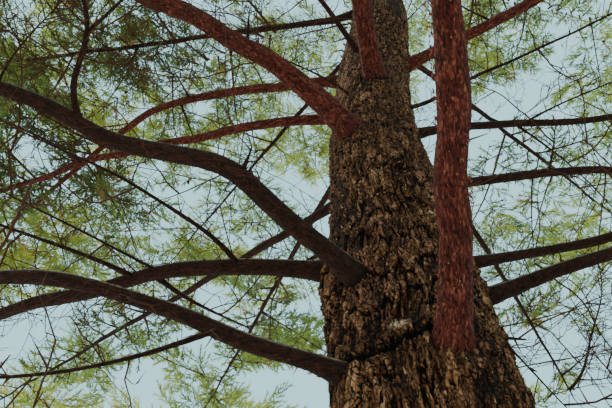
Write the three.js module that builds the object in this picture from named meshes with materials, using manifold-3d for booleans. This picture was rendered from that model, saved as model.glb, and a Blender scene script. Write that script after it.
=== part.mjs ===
// A big old pine that stands in the open: a thick trunk with a root flare and a bend above its
// middle, long slim boughs that are bare near the trunk, and flat layers of needles at their ends.
// Millimetres, +Z up. The origin is the middle of the flat cut at ground level.
import * as THREE from "three";
import { mergeVertices } from "three/addons/utils/BufferGeometryUtils.js";
import Module from "manifold-3d";

const wasm = await Module();
wasm.setup();

// Gap between pieces that touch
const GAP = 0.3;

// Trunk: height above the ground, lean of the axis towards +X, and radius
const TRUNK_STATIONS = [
  { height: 0, lean: 0, radius: 600 },
  { height: 500, lean: 0, radius: 500 },
  { height: 1300, lean: 0, radius: 430 },
  { height: 3000, lean: 0, radius: 365 },
  { height: 4000, lean: 0, radius: 325 },
  { height: 5000, lean: 0, radius: 280 },
  { height: 6000, lean: 85, radius: 265 },
  { height: 7200, lean: 250, radius: 260 },
  { height: 9000, lean: 355, radius: 220 },
  { height: 11000, lean: 400, radius: 165 },
  { height: 13000, lean: 405, radius: 105 },
  { height: 14800, lean: 390, radius: 52 },
  { height: 16000, lean: 375, radius: 15 },
];
const TRUNK_SIDES = 16;
const TRUNK_RINGS = 26;
// Rings crowd towards the ground, where the flare curves most
const RING_CROWDING = 1.35;
// Root flare: buttresses that fade with height
const BUTTRESSES = 5;
const BUTTRESS_DEPTH = 0.11;
const BUTTRESS_TURN = 0.8;
const BUTTRESS_FADE = 700;
// Two sides of the foot spread more than the others
const FOOT_SPREAD = 0.4;
const FOOT_SPREAD_TURN = -0.5;
// Swellings of the trunk under the feet of the heavy boughs
const SWELLINGS = [
  { height: 3560, heading: 178, depth: 45, tall: 260, wide: 28 },
  { height: 2850, heading: 284, depth: 50, tall: 330, wide: 30 },
];

// Boughs. Each course starts on the trunk's axis at a height. It holds the headings in turn, one
// every HEADING_STEP (degrees from +X, towards +Y), then the last one, and passes through the rises
// (degrees above level), spaced evenly from foot to tip.
const HEADING_STEP = 300;
const COURSE_STEPS = 40;
const TIP_SHARE = 0.25;
const COLLAR_SWELL = 0.45;
const COLLAR_LENGTH = 90;
const BOUGH_SIDES = 6;
const BOUGH_RINGS = 6;
// A bough is bare for this share of its course, unless it names its own. Its needles take the rest.
const BARE_SHARE = 0.56;

const LEFT_BOUGHS = [
  {
    height: 2920, length: 4300, diameter: 72, rises: [11, 8, 2],
    headings: [215, 205, 192, 203, 196, 176, 172, 186],
  },
  {
    height: 3320, length: 5000, diameter: 95, rises: [20, 20, 10, 15],
    headings: [232, 220, 212, 224, 178, 178, 206, 192],
  },
  {
    height: 3690, length: 4800, diameter: 90, rises: [2, 3, 8],
    headings: [180, 187, 182, 174, 163, 160],
  },
  {
    height: 4580, length: 5600, diameter: 140, rises: [25, 22, 10, 14],
    headings: [238, 226, 212, 208, 203, 198, 204],
  },
  {
    height: 5300, length: 4800, diameter: 72, bare: 0.5, rises: [3, 3, 8],
    headings: [178, 177, 172, 166, 164, 167, 166, 161, 157],
  },
  {
    height: 5930, length: 4500, diameter: 80, bare: 0.5, rises: [3, 3, 10],
    headings: [174, 178, 170, 174, 169, 166, 153, 143, 140],
  },
  {
    height: 7480, length: 4700, diameter: 72, bare: 0.4, rises: [3, 3, 8],
    headings: [195, 160, 174, 172, 171],
  },
];
const RIGHT_BOUGHS = [
  {
    height: 3420, length: 4300, diameter: 68, rises: [6, 6, 8],
    headings: [350, 340, 332, 350, 356, 8],
  },
  {
    height: 3700, length: 4200, diameter: 55, rises: [7, 7, 10],
    headings: [355, 352, 354, 350, 336, 322],
  },
  {
    height: 4370, length: 4500, diameter: 58, rises: [5, 5, 10],
    headings: [351, 354, 354, 357, 2, 22],
  },
  {
    height: 4960, length: 4000, diameter: 58, rises: [3, 5, 8],
    headings: [350, 346, 358, 2, 0, 352],
  },
  {
    height: 5980, length: 4700, diameter: 96, rises: [9, 10, 10],
    headings: [350, 335, 334, 335, 335, 330],
  },
];
const FRONT_BOUGHS = [
  {
    height: 2790, length: 5200, diameter: 124, rises: [25, 24, 14, 12],
    headings: [286, 273, 269, 266, 262, 260],
  },
  {
    height: 5280, length: 4900, diameter: 145, rises: [25, 24, 14, 12],
    headings: [284, 256, 258, 256],
  },
  {
    height: 2000, length: 4700, diameter: 84, rises: [6, 10, 6],
    headings: [218],
  },
  {
    height: 2330, length: 4500, diameter: 80, rises: [6, 8, 6],
    headings: [303],
  },
];
const BACK_BOUGHS = [
  {
    height: 2850, length: 4800, diameter: 84, rises: [8, 8, 6],
    headings: [38],
  },
  {
    height: 3250, length: 4900, diameter: 88, rises: [8, 8, 6],
    headings: [84],
  },
  {
    height: 4550, length: 4900, diameter: 62, bare: 0.4, rises: [8, 10, 8],
    headings: [138],
  },
  {
    height: 5350, length: 4800, diameter: 56, bare: 0.36, rises: [6, 6, 8],
    headings: [112],
  },
  {
    height: 5000, length: 4700, diameter: 60, bare: 0.36, rises: [8, 8, 8],
    headings: [66],
  },
  {
    height: 6900, length: 4600, diameter: 60, bare: 0.36, rises: [8, 6, 8],
    headings: [38],
  },
  {
    height: 7300, length: 4600, diameter: 58, bare: 0.36, rises: [8, 6, 8],
    headings: [126],
  },
];
// Boughs whose bark is the red, flaky kind
const RED_BARKED = ["left_4", "left_5", "left_6", "front_1", "front_2", "right_5"];
// A dead limb on the far right, with no needles left
const DEAD_LIMB = {
  height: 4550, length: 2600, diameter: 45, rises: [-2, -4],
  headings: [350, 22, 60, 55, 56, 58],
};

// Upper crown: needles from the trunk outwards, each higher one turned back by the golden angle
const GOLDEN_ANGLE = 137.5;
const UPPER_BARE_SHARE = 0.24;
const UPPER_CROWN = {
  kind: "upper",
  count: 8,
  heights: [8150, 12600],
  lengths: [4900, 3000],
  diameters: [84, 52],
  rises: [24, 14, 18],
  firstHeading: 152,
};
// Tip of the crown: short steep shoots round the leader
const CROWN_TIP = {
  kind: "top",
  count: 3,
  heights: [13200, 14500],
  lengths: [2300, 1350],
  diameters: [46, 34],
  rises: [42, 36],
  firstHeading: 305,
};

// Needles: side twigs leave a stem by turns to its left and right, and carry blades of needles
const STEM_RINGS = 3;
const TWIGS_PER_STEM = 7;
// A twig's place along its share of the stem: the least, and the spread of the draw
const TWIG_PLACE_LEAST = 0.35;
const TWIG_PLACE_SPREAD = 0.4;
// A twig's length as a share of its bough's, shorter towards the stem's ends and varied by a draw
const TWIG_LENGTH = 0.29;
const TWIG_END_FULLNESS = 0.62;
const TWIG_FULLEST_SHIFT = 0.15;
const TWIG_LENGTH_VARIES = 0.15;
// Angles of a twig from its stem, at the stem's foot and tip, and its lowest and highest lift
const TWIG_ANGLE_FOOT = 62;
const TWIG_ANGLE_TIP = 36;
const TWIG_DROOP = -10;
const TWIG_LIFT = 30;
// A twig's foot as a share of its stem's radius, and its least radius
const TWIG_THICKNESS = 0.6;
const TWIG_MIN_RADIUS = 9;
// Place of the end blade's heart on the stem
const END_BLADE_PLACE = 0.97;
const BLADE_LENGTH = 1750;
const BLADE_THICKNESS = 180;
// Blades are full length on boughs of this length, and on shorter ones at least this share of it
const FULL_VIGOUR_LENGTH = 4500;
const LEAST_VIGOUR = 0.72;
const BLADE_SPLAY = 42;
const BLADE_ROLL = 46;
const MIDDLE_BLADE_RISE = 28;
const MIDDLE_BLADE_EVERY = 2;
// Half outline of a blade of needles as shares of its length, measured from its thick heart: tip,
// shoulder and root
const BLADE_HALF_OUTLINE = [[0.6, 0], [0.15, 0.4], [-0.4, 0]];
// A twig or blade that would leave its space is tried again this much shorter and flatter
const EASINGS = [1, 0.72, 0.5];
// Clearance of needles from limbs, and between two masses
const LIMB_CLEARANCE = 45;
const MASS_CLEARANCE = 60;

const MATERIALS = {
  trunkBark: new THREE.MeshStandardMaterial({ color: 0x8a6a49, roughness: 0.95, metalness: 0 }),
  redBark: new THREE.MeshStandardMaterial({ color: 0x7d4434, roughness: 0.92, metalness: 0 }),
  darkBark: new THREE.MeshStandardMaterial({ color: 0x4a342b, roughness: 0.92, metalness: 0 }),
  needles: new THREE.MeshStandardMaterial({ color: 0x7f9140, roughness: 0.7, metalness: 0 }),
};

const radians = THREE.MathUtils.degToRad;
const lerp = THREE.MathUtils.lerp;
const UP = new THREE.Vector3(0, 0, 1);

// A steady random share from 0 to 1 for a piece's number and the draw's number
function chance(piece, draw) {
  const value = Math.sin(piece * 127.1 + draw * 311.7) * 43758.5453;
  return value - Math.floor(value);
}

// Value of evenly spaced stations at a place counted in stations, held past the last
function atStation(values, place) {
  const index = Math.min(Math.floor(place), values.length - 1);
  const next = Math.min(index + 1, values.length - 1);
  return lerp(values[index], values[next], place - index);
}

// Heading turned by whole turns until it lies within half a turn of the one before
function unwrapped(headings) {
  const turned = [headings[0]];
  for (const heading of headings.slice(1)) {
    const before = turned[turned.length - 1];
    turned.push(heading - 360 * Math.round((heading - before) / 360));
  }
  return turned;
}

// Trunk's lean or radius at a height: a cubic curve through the stations
function trunkValue(key, height) {
  const last = TRUNK_STATIONS.length - 1;
  const z = THREE.MathUtils.clamp(height, 0, TRUNK_STATIONS[last].height);
  let index = 0;
  while (index < last - 1 && TRUNK_STATIONS[index + 1].height < z) {
    index += 1;
  }
  const slope = (i) => {
    const below = TRUNK_STATIONS[Math.max(i - 1, 0)];
    const above = TRUNK_STATIONS[Math.min(i + 1, last)];
    return (above[key] - below[key]) / (above.height - below.height);
  };
  const from = TRUNK_STATIONS[index];
  const to = TRUNK_STATIONS[index + 1];
  const span = to.height - from.height;
  const t = (z - from.height) / span;
  return (2 * t ** 3 - 3 * t ** 2 + 1) * from[key] + (t ** 3 - 2 * t ** 2 + t) * span * slope(index)
    + (3 * t ** 2 - 2 * t ** 3) * to[key] + (t ** 3 - t ** 2) * span * slope(index + 1);
}

// Trunk's radius in one direction, with its buttresses and swellings
function trunkRadius(height, angle) {
  const wave = Math.cos(BUTTRESSES * angle + BUTTRESS_TURN)
    + FOOT_SPREAD * Math.cos(2 * angle + FOOT_SPREAD_TURN);
  const flare = 1 + BUTTRESS_DEPTH * wave * Math.exp(-height / BUTTRESS_FADE);
  let radius = trunkValue("radius", height) * flare;
  for (const swelling of SWELLINGS) {
    const turn = Math.cos(angle - radians(swelling.heading)) - 1;
    const rise = (height - swelling.height) / swelling.tall;
    radius += swelling.depth * Math.exp(turn / (1 - Math.cos(radians(swelling.wide))) - rise * rise);
  }
  return radius;
}

// Closed solid from a geometry whose seams are merged
function solidOf(geometry) {
  const bare = geometry.clone();
  bare.deleteAttribute("normal");
  bare.deleteAttribute("uv");
  const merged = mergeVertices(bare, 0.01);
  return new wasm.Manifold(new wasm.Mesh({
    numProp: 3,
    vertProperties: Float32Array.from(merged.attributes.position.array),
    triVerts: Uint32Array.from(merged.index.array),
  }));
}

// Geometry of a solid's largest body. A loose scrap, or the wall of a hollow, is left behind.
function geometryOf(solid) {
  const bodies = solid.decompose();
  const largest = bodies.reduce((most, body) => (body.volume() > most.volume() ? body : most));
  const mesh = largest.getMesh();
  const geometry = new THREE.BufferGeometry();
  geometry.setAttribute("position", new THREE.BufferAttribute(Float32Array.from(mesh.vertProperties), 3));
  geometry.setIndex(new THREE.BufferAttribute(Uint32Array.from(mesh.triVerts), 1));
  return geometry;
}

// Trunk: a cylinder whose rings follow the lean and the radius, grown all round
function trunkGeometry(grown) {
  const highest = TRUNK_STATIONS[TRUNK_STATIONS.length - 1].height;
  const geometry = new THREE.CylinderGeometry(1, 1, 1, TRUNK_SIDES, TRUNK_RINGS);
  const place = geometry.attributes.position;
  for (let i = 0; i < place.count; i += 1) {
    const reach = Math.hypot(place.getX(i), place.getZ(i));
    const angle = Math.atan2(-place.getZ(i), place.getX(i));
    const height = highest * Math.pow(place.getY(i) + 0.5, RING_CROWDING);
    const radius = reach * (trunkRadius(height, angle) + grown);
    const lean = trunkValue("lean", height);
    place.setXYZ(i, lean + radius * Math.cos(angle), radius * Math.sin(angle), height);
  }
  return geometry;
}

// Course of a bough: points at even steps from the trunk's axis
function courseOf(bough) {
  const headings = unwrapped(bough.headings);
  const step = bough.length / COURSE_STEPS;
  const point = new THREE.Vector3(trunkValue("lean", bough.height), 0, bough.height);
  const points = [point.clone()];
  for (let i = 0; i < COURSE_STEPS; i += 1) {
    const travelled = (i + 0.5) * step;
    const heading = radians(atStation(headings, travelled / HEADING_STEP));
    const rise = radians(atStation(bough.rises, (travelled / bough.length) * (bough.rises.length - 1)));
    point.add(new THREE.Vector3(
      Math.cos(rise) * Math.cos(heading), Math.cos(rise) * Math.sin(heading), Math.sin(rise),
    ).multiplyScalar(step));
    points.push(point.clone());
  }
  return points;
}

// Point of a course at a share of its length
function coursePoint(course, share) {
  const place = THREE.MathUtils.clamp(share, 0, 1) * COURSE_STEPS;
  const index = Math.min(Math.floor(place), COURSE_STEPS - 1);
  return course[index].clone().lerp(course[index + 1], place - index);
}

function courseDirection(course, share) {
  const half = 0.5 / COURSE_STEPS;
  return coursePoint(course, share + half).sub(coursePoint(course, share - half)).normalize();
}

// Radius of a bough: an even taper, and a collar that swells into the trunk
function boughRadius(bough, share) {
  const beyond = share * bough.length - trunkValue("radius", bough.height);
  const collar = 1 + COLLAR_SWELL * Math.exp(-Math.max(beyond, 0) / COLLAR_LENGTH);
  return 0.5 * bough.diameter * lerp(1, TIP_SHARE, share) * collar;
}

// Tapering limb round a stretch of a course: a cylinder bent along it
function limbGeometry(bough, from, to, sides, rings) {
  const geometry = new THREE.CylinderGeometry(1, 1, 1, sides, rings);
  const place = geometry.attributes.position;
  for (let i = 0; i < place.count; i += 1) {
    const share = lerp(from, to, place.getY(i) + 0.5);
    const forward = courseDirection(bough.course, share);
    const side = new THREE.Vector3().crossVectors(forward, UP).normalize();
    const over = new THREE.Vector3().crossVectors(side, forward);
    const radius = boughRadius(bough, share);
    const point = coursePoint(bough.course, share);
    point.addScaledVector(side, radius * place.getX(i));
    point.addScaledVector(over, radius * place.getZ(i));
    place.setXYZ(i, point.x, point.y, point.z);
  }
  return geometry;
}

// Twig: a three-sided spike from one point to another
function twigGeometry(foot, tip, radius) {
  const length = foot.distanceTo(tip);
  const geometry = new THREE.ConeGeometry(radius, length, 3, 1);
  geometry.translate(0, length / 2, 0);
  const turn = new THREE.Quaternion().setFromUnitVectors(
    new THREE.Vector3(0, 1, 0), tip.clone().sub(foot).normalize());
  return geometry.applyQuaternion(turn).translate(foot.x, foot.y, foot.z);
}

// The way across a blade, rolled out of the level about its own length
function bladeSide(blade) {
  const side = new THREE.Vector3().crossVectors(UP, blade.direction).normalize();
  return side.applyAxisAngle(blade.direction, radians(blade.roll));
}

// Corners of a blade of needles whose heart is at a point, lying along a direction
function bladeCorners(blade) {
  const side = bladeSide(blade);
  const otherHalf = BLADE_HALF_OUTLINE.slice(1, -1).reverse().map(([along, across]) => [along, -across]);
  return [...BLADE_HALF_OUTLINE, ...otherHalf].map(([along, across]) => blade.heart.clone()
    .addScaledVector(blade.direction, along * blade.length)
    .addScaledVector(side, across * blade.length));
}

// Blade of needles: a double pyramid, thickest at its heart, whose rim is the outline
function bladeGeometry(blade) {
  const corners = bladeCorners(blade);
  const over = new THREE.Vector3().crossVectors(blade.direction, bladeSide(blade));
  const geometry = new THREE.SphereGeometry(1, corners.length, 2);
  const place = geometry.attributes.position;
  for (let i = 0; i < place.count; i += 1) {
    const angle = Math.atan2(-place.getZ(i), place.getX(i));
    const turns = Math.round((angle / (2 * Math.PI)) * corners.length);
    const rim = Math.hypot(place.getX(i), place.getZ(i)) > 0.5;
    const corner = corners[(turns + corners.length) % corners.length];
    const pole = blade.heart.clone().addScaledVector(over, 0.5 * BLADE_THICKNESS * place.getY(i));
    const point = rim ? corner : pole;
    place.setXYZ(i, point.x, point.y, point.z);
  }
  return geometry;
}

// Distance of a point from a row of points joined by straight lines
function distanceToRow(point, row) {
  const nearest = new THREE.Vector3();
  let least = Infinity;
  for (let i = 0; i + 1 < row.length; i += 1) {
    new THREE.Line3(row[i], row[i + 1]).closestPointToPoint(point, true, nearest);
    least = Math.min(least, nearest.distanceTo(point));
  }
  return least;
}

// Whether every point of a twig or blade keeps to its mass's space, clear of limbs and trunk
function keepsToSpace(points, bough, boughs) {
  return points.every((point) => {
    const angle = Math.atan2(point.y, point.x - trunkValue("lean", point.z));
    const fromAxis = Math.hypot(point.x - trunkValue("lean", point.z), point.y);
    if (fromAxis < trunkRadius(point.z, angle) + LIMB_CLEARANCE) {
      return false;
    }
    const own = distanceToRow(point, bough.stemRow);
    return boughs.every((other) => {
      const fromLimb = distanceToRow(point, other.limbRow) - 0.5 * other.diameter;
      const fromStem = distanceToRow(point, other.stemRow);
      return fromLimb > LIMB_CLEARANCE && (other === bough || own + MASS_CLEARANCE < fromStem);
    });
  });
}

// Direction turned sideways from another, and raised
function turned(direction, sideways, raised) {
  const heading = Math.atan2(direction.y, direction.x) + radians(sideways);
  const rise = Math.asin(direction.z) + radians(raised);
  return new THREE.Vector3(
    Math.cos(rise) * Math.cos(heading), Math.cos(rise) * Math.sin(heading), Math.sin(rise));
}

// Twig number i of a mass by the seeded rule: twigs leave by turns to the left and right, and are
// longest at the middle of the stem
function twigOf(bough, number, i, ease) {
  const jitter = TWIG_PLACE_LEAST + TWIG_PLACE_SPREAD * chance(number, 3 * i);
  const along = (i + jitter) / TWIGS_PER_STEM;
  const share = lerp(bough.leafyFrom, 1, along);
  const hand = i % 2 === 0 ? 1 : -1;
  const sideways = hand * lerp(TWIG_ANGLE_FOOT, TWIG_ANGLE_TIP, along);
  const raised = ease * lerp(TWIG_DROOP, TWIG_LIFT, chance(number, 3 * i + 1));
  const fullness = lerp(TWIG_END_FULLNESS, 1, Math.sin(Math.PI * Math.min(along + TWIG_FULLEST_SHIFT, 1)));
  const varied = 1 + TWIG_LENGTH_VARIES * (2 * chance(number, 3 * i + 2) - 1);
  const reach = TWIG_LENGTH * bough.length * fullness * varied;
  const foot = coursePoint(bough.course, share);
  const direction = turned(courseDirection(bough.course, share), sideways, raised);
  const radius = Math.max(TWIG_THICKNESS * boughRadius(bough, share), TWIG_MIN_RADIUS);
  return { foot, tip: foot.clone().addScaledVector(direction, ease * reach), direction, hand, radius };
}

// Blades that a twig carries: one at its end, and on every other twig one half way, on the outer side
function bladesOf(bough, number, i, twig, ease) {
  const length = ease * BLADE_LENGTH * bough.vigour;
  const roll = ease * lerp(-BLADE_ROLL, BLADE_ROLL, chance(number, 3 * i + 0.5));
  const blades = [{ heart: twig.tip.clone(), direction: twig.direction, length, roll }];
  if (i % MIDDLE_BLADE_EVERY === 1) {
    const direction = turned(twig.direction, -twig.hand * BLADE_SPLAY, ease * MIDDLE_BLADE_RISE);
    blades.push({ heart: twig.foot.clone().lerp(twig.tip, 0.5), direction, length, roll: -roll });
  }
  return blades;
}

// Points of a twig, or of a blade's rim, that have to lie in the mass's space
function twigMarks(twig) {
  return [0.3, 0.5, 0.7, 0.85, 1].map((share) => twig.foot.clone().lerp(twig.tip, share));
}

function bladeMarks(blade) {
  const rim = bladeCorners(blade);
  return [...rim, ...rim.map((corner, i) => corner.clone().lerp(rim[(i + 1) % rim.length], 0.5))];
}

// First of the easings whose piece keeps to the space, or nothing
function firstThatFits(make, marks, bough, boughs) {
  return EASINGS.map(make).find((piece) => keepsToSpace(marks(piece), bough, boughs));
}

// One mass of needles: its stem, and the twigs and blades that keep to its space, fused
function massGeometry(bough, number, boughs, grownTrunk) {
  let mass = solidOf(limbGeometry(bough, bough.stemFrom, 1, 3, STEM_RINGS));
  const addBlade = (make) => {
    const blade = firstThatFits(make, bladeMarks, bough, boughs);
    mass = blade ? mass.add(solidOf(bladeGeometry(blade))) : mass;
  };
  addBlade((ease) => ({
    heart: coursePoint(bough.course, END_BLADE_PLACE),
    direction: courseDirection(bough.course, 1),
    length: ease * BLADE_LENGTH * bough.vigour,
    roll: 0,
  }));
  for (let i = 0; i < TWIGS_PER_STEM; i += 1) {
    const twig = firstThatFits((ease) => twigOf(bough, number, i, ease), twigMarks, bough, boughs);
    if (twig) {
      mass = mass.add(solidOf(twigGeometry(twig.foot, twig.tip, twig.radius)));
      bladesOf(bough, number, i, twig, 1).forEach((_, k) => {
        addBlade((ease) => bladesOf(bough, number, i, twig, ease)[k]);
      });
    }
  }
  return geometryOf(mass.subtract(grownTrunk));
}

// Named boughs with what every one needs worked out
function prepared(name, bough, usualBare) {
  const course = courseOf(bough);
  const bare = bough.bare ?? usualBare;
  const stop = Math.round(bare * COURSE_STEPS);
  return {
    name,
    ...bough,
    course,
    bare,
    stemFrom: bare > 0 ? bare + GAP / bough.length : 0,
    limbRow: course.slice(0, Math.max(stop, 2)),
    stemRow: course.slice(stop),
    leafyFrom: Math.max(bare, UPPER_BARE_SHARE),
    vigour: THREE.MathUtils.clamp(bough.length / FULL_VIGOUR_LENGTH, LEAST_VIGOUR, 1),
  };
}

function row(kind, boughs) {
  return boughs.map((bough, i) => prepared(`${kind}_${i + 1}`, bough, BARE_SHARE));
}

// Boughs of the upper crown or its tip, whose needles grow from the trunk with no bare limb
function ladder(tier) {
  return Array.from({ length: tier.count }, (_, i) => prepared(`${tier.kind}_${i + 1}`, {
    height: atStation(tier.heights, i / (tier.count - 1)),
    length: atStation(tier.lengths, i / (tier.count - 1)),
    diameter: atStation(tier.diameters, i / (tier.count - 1)),
    headings: [tier.firstHeading - i * GOLDEN_ANGLE],
    rises: tier.rises,
  }, 0));
}

const limbed = [
  ...row("left", LEFT_BOUGHS), ...row("right", RIGHT_BOUGHS),
  ...row("front", FRONT_BOUGHS), ...row("back", BACK_BOUGHS),
];
const upper = [...ladder(UPPER_CROWN), ...ladder(CROWN_TIP)];
const deadLimb = prepared("dead", DEAD_LIMB, 1);
const everyBough = [...limbed, ...upper, deadLimb];

const pine = new THREE.Group();
pine.name = "pine_tree";

function addMesh(name, geometry, material) {
  const mesh = new THREE.Mesh(geometry, material);
  mesh.name = name;
  pine.add(mesh);
}

addMesh("trunk", trunkGeometry(0), MATERIALS.trunkBark);

const grownTrunk = solidOf(trunkGeometry(GAP));
for (const bough of [...limbed, deadLimb]) {
  const limb = solidOf(limbGeometry(bough, 0, bough.bare, BOUGH_SIDES, BOUGH_RINGS));
  const material = RED_BARKED.includes(bough.name) ? MATERIALS.redBark : MATERIALS.darkBark;
  addMesh(`bough_${bough.name}`, geometryOf(limb.subtract(grownTrunk)), material);
}
[...limbed, ...upper].forEach((bough, number) => {
  addMesh(`needles_${bough.name}`, massGeometry(bough, number, everyBough, grownTrunk), MATERIALS.needles);
});

export default pine;
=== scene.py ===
"""A big old pine in the open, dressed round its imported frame.

Metres, +Z up, with the origin in the middle of the flat cut at ground level. Plates of bark stand
out of the trunk, the boughs carry flaky bark, dead twigs and stubs, and needles grow on from them.
"""

import bpy
import numpy as np
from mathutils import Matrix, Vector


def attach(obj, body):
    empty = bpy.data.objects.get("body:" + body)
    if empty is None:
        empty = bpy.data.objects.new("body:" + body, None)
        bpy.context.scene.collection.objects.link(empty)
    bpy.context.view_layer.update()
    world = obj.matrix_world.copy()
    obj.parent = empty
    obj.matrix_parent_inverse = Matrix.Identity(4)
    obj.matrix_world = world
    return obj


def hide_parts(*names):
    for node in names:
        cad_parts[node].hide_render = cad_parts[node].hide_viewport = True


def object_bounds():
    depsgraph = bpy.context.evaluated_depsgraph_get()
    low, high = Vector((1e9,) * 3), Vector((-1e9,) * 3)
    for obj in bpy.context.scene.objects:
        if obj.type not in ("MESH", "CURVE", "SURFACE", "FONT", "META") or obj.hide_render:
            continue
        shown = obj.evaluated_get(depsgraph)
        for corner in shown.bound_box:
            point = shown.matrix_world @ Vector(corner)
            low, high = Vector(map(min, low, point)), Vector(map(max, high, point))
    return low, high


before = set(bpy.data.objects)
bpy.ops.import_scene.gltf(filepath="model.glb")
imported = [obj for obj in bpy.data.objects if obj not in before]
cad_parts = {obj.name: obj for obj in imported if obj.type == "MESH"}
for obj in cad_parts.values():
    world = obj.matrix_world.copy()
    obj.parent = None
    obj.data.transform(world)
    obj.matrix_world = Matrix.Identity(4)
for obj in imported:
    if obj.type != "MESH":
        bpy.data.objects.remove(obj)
CAD_BOX = [list(corner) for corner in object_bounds()]

bl_info = {
    "name": "Old Pine",
    "version": (1, 0, 0),
    "blender": (4, 5, 0),
    "location": "3D View > Sidebar > Pine",
    "description": "Bark, twigs, needles and cones of a big old pine, round its packed frame",
    "category": "Add Mesh",
}

# Trunk: stations of height, lean of the axis towards +X, and radius
TRUNK_HEIGHTS = np.array([0, 0.5, 1.3, 3, 4, 5, 6, 7.2, 9, 11, 13, 14.8, 16])
TRUNK_LEANS = np.array([0, 0, 0, 0, 0, 0, 0.085, 0.25, 0.355, 0.4, 0.405, 0.39, 0.375])
TRUNK_RADII = np.array([0.6, 0.5, 0.43, 0.365, 0.325, 0.28, 0.265, 0.26, 0.22, 0.165, 0.105, 0.052, 0.015])
TRUNK_HEIGHT = TRUNK_HEIGHTS[-1]
BUTTRESSES = 5
BUTTRESS_DEPTH = 0.11
BUTTRESS_TURN = 0.8
BUTTRESS_FADE = 0.7
FOOT_SPREAD = 0.4
FOOT_SPREAD_TURN = -0.5
# Swellings of the trunk under the feet of the heavy boughs
SWELLINGS = [
    {"height": 3.56, "heading": 178, "depth": 0.045, "tall": 0.26, "wide": 28},
    {"height": 2.85, "heading": 284, "depth": 0.05, "tall": 0.33, "wide": 30},
]

# Boughs: each starts on the trunk's axis at a height. Its course holds the headings in turn, one
# every HEADING_STEP, and passes through the rises, spaced evenly (degrees).
HEADING_STEP = 0.3
COURSE_STEPS = 40
TIP_SHARE = 0.25
COLLAR_SWELL = 0.45
COLLAR_LENGTH = 0.09
BARE_SHARE = 0.56
BOUGHS = {
    "left_1": dict(height=2.92, length=4.3, diameter=0.072, rises=[11, 8, 2],
                   headings=[215, 205, 192, 203, 196, 176, 172, 186]),
    "left_2": dict(height=3.32, length=5.0, diameter=0.095, rises=[20, 20, 10, 15],
                   headings=[232, 220, 212, 224, 178, 178, 206, 192]),
    "left_3": dict(height=3.69, length=4.8, diameter=0.09, rises=[2, 3, 8],
                   headings=[180, 187, 182, 174, 163, 160]),
    "left_4": dict(height=4.58, length=5.6, diameter=0.14, rises=[25, 22, 10, 14],
                   headings=[238, 226, 212, 208, 203, 198, 204]),
    "left_5": dict(height=5.3, length=4.8, diameter=0.072, bare=0.5, rises=[3, 3, 8],
                   headings=[178, 177, 172, 166, 164, 167, 166, 161, 157]),
    "left_6": dict(height=5.93, length=4.5, diameter=0.08, bare=0.5, rises=[3, 3, 10],
                   headings=[174, 178, 170, 174, 169, 166, 153, 143, 140]),
    "left_7": dict(height=7.48, length=4.7, diameter=0.072, bare=0.4, rises=[3, 3, 8],
                   headings=[195, 160, 174, 172, 171]),
    "right_1": dict(height=3.42, length=4.3, diameter=0.068, rises=[6, 6, 8],
                    headings=[350, 340, 332, 350, 356, 8]),
    "right_2": dict(height=3.7, length=4.2, diameter=0.055, rises=[7, 7, 10],
                    headings=[355, 352, 354, 350, 336, 322]),
    "right_3": dict(height=4.37, length=4.5, diameter=0.058, rises=[5, 5, 10],
                    headings=[351, 354, 354, 357, 2, 22]),
    "right_4": dict(height=4.96, length=4.0, diameter=0.058, rises=[3, 5, 8],
                    headings=[350, 346, 358, 2, 0, 352]),
    "right_5": dict(height=5.98, length=4.7, diameter=0.096, rises=[9, 10, 10],
                    headings=[350, 335, 334, 335, 335, 330]),
    "front_1": dict(height=2.79, length=5.2, diameter=0.124, rises=[25, 24, 14, 12],
                    headings=[286, 273, 269, 266, 262, 260]),
    "front_2": dict(height=5.28, length=4.9, diameter=0.145, rises=[25, 24, 14, 12],
                    headings=[284, 256, 258, 256]),
    "front_3": dict(height=2.0, length=4.7, diameter=0.084, rises=[6, 10, 6], headings=[218]),
    "front_4": dict(height=2.33, length=4.5, diameter=0.08, rises=[6, 8, 6], headings=[303]),
    "back_1": dict(height=2.85, length=4.8, diameter=0.084, rises=[8, 8, 6], headings=[38]),
    "back_2": dict(height=3.25, length=4.9, diameter=0.088, rises=[8, 8, 6], headings=[84]),
    "back_3": dict(height=4.55, length=4.9, diameter=0.062, bare=0.4, rises=[8, 10, 8], headings=[138]),
    "back_4": dict(height=5.35, length=4.8, diameter=0.056, bare=0.36, rises=[6, 6, 8], headings=[112]),
    "back_5": dict(height=5.0, length=4.7, diameter=0.06, bare=0.36, rises=[8, 8, 8], headings=[66]),
    "back_6": dict(height=6.9, length=4.6, diameter=0.06, bare=0.36, rises=[8, 6, 8], headings=[38]),
    "back_7": dict(height=7.3, length=4.6, diameter=0.058, bare=0.36, rises=[8, 6, 8], headings=[126]),
}
RED_BARKED = ["left_4", "left_5", "left_6", "front_1", "front_2", "right_5"]
DEAD_LIMB = dict(height=4.55, length=2.6, diameter=0.045, rises=[-2, -4],
                 headings=[350, 22, 60, 55, 56, 58])

# Upper crown: needles from the trunk outwards, each higher one turned back by the golden angle
GOLDEN_ANGLE = 137.5
UPPER_BARE_SHARE = 0.24
UPPER_CROWN = dict(kind="upper", count=8, heights=[8.15, 12.6], lengths=[4.9, 3.0],
                   diameters=[0.084, 0.052], rises=[24, 14, 18], first_heading=152)
CROWN_TIP = dict(kind="top", count=3, heights=[13.2, 14.5], lengths=[2.3, 1.35],
                 diameters=[0.046, 0.034], rises=[42, 36], first_heading=305)

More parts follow.
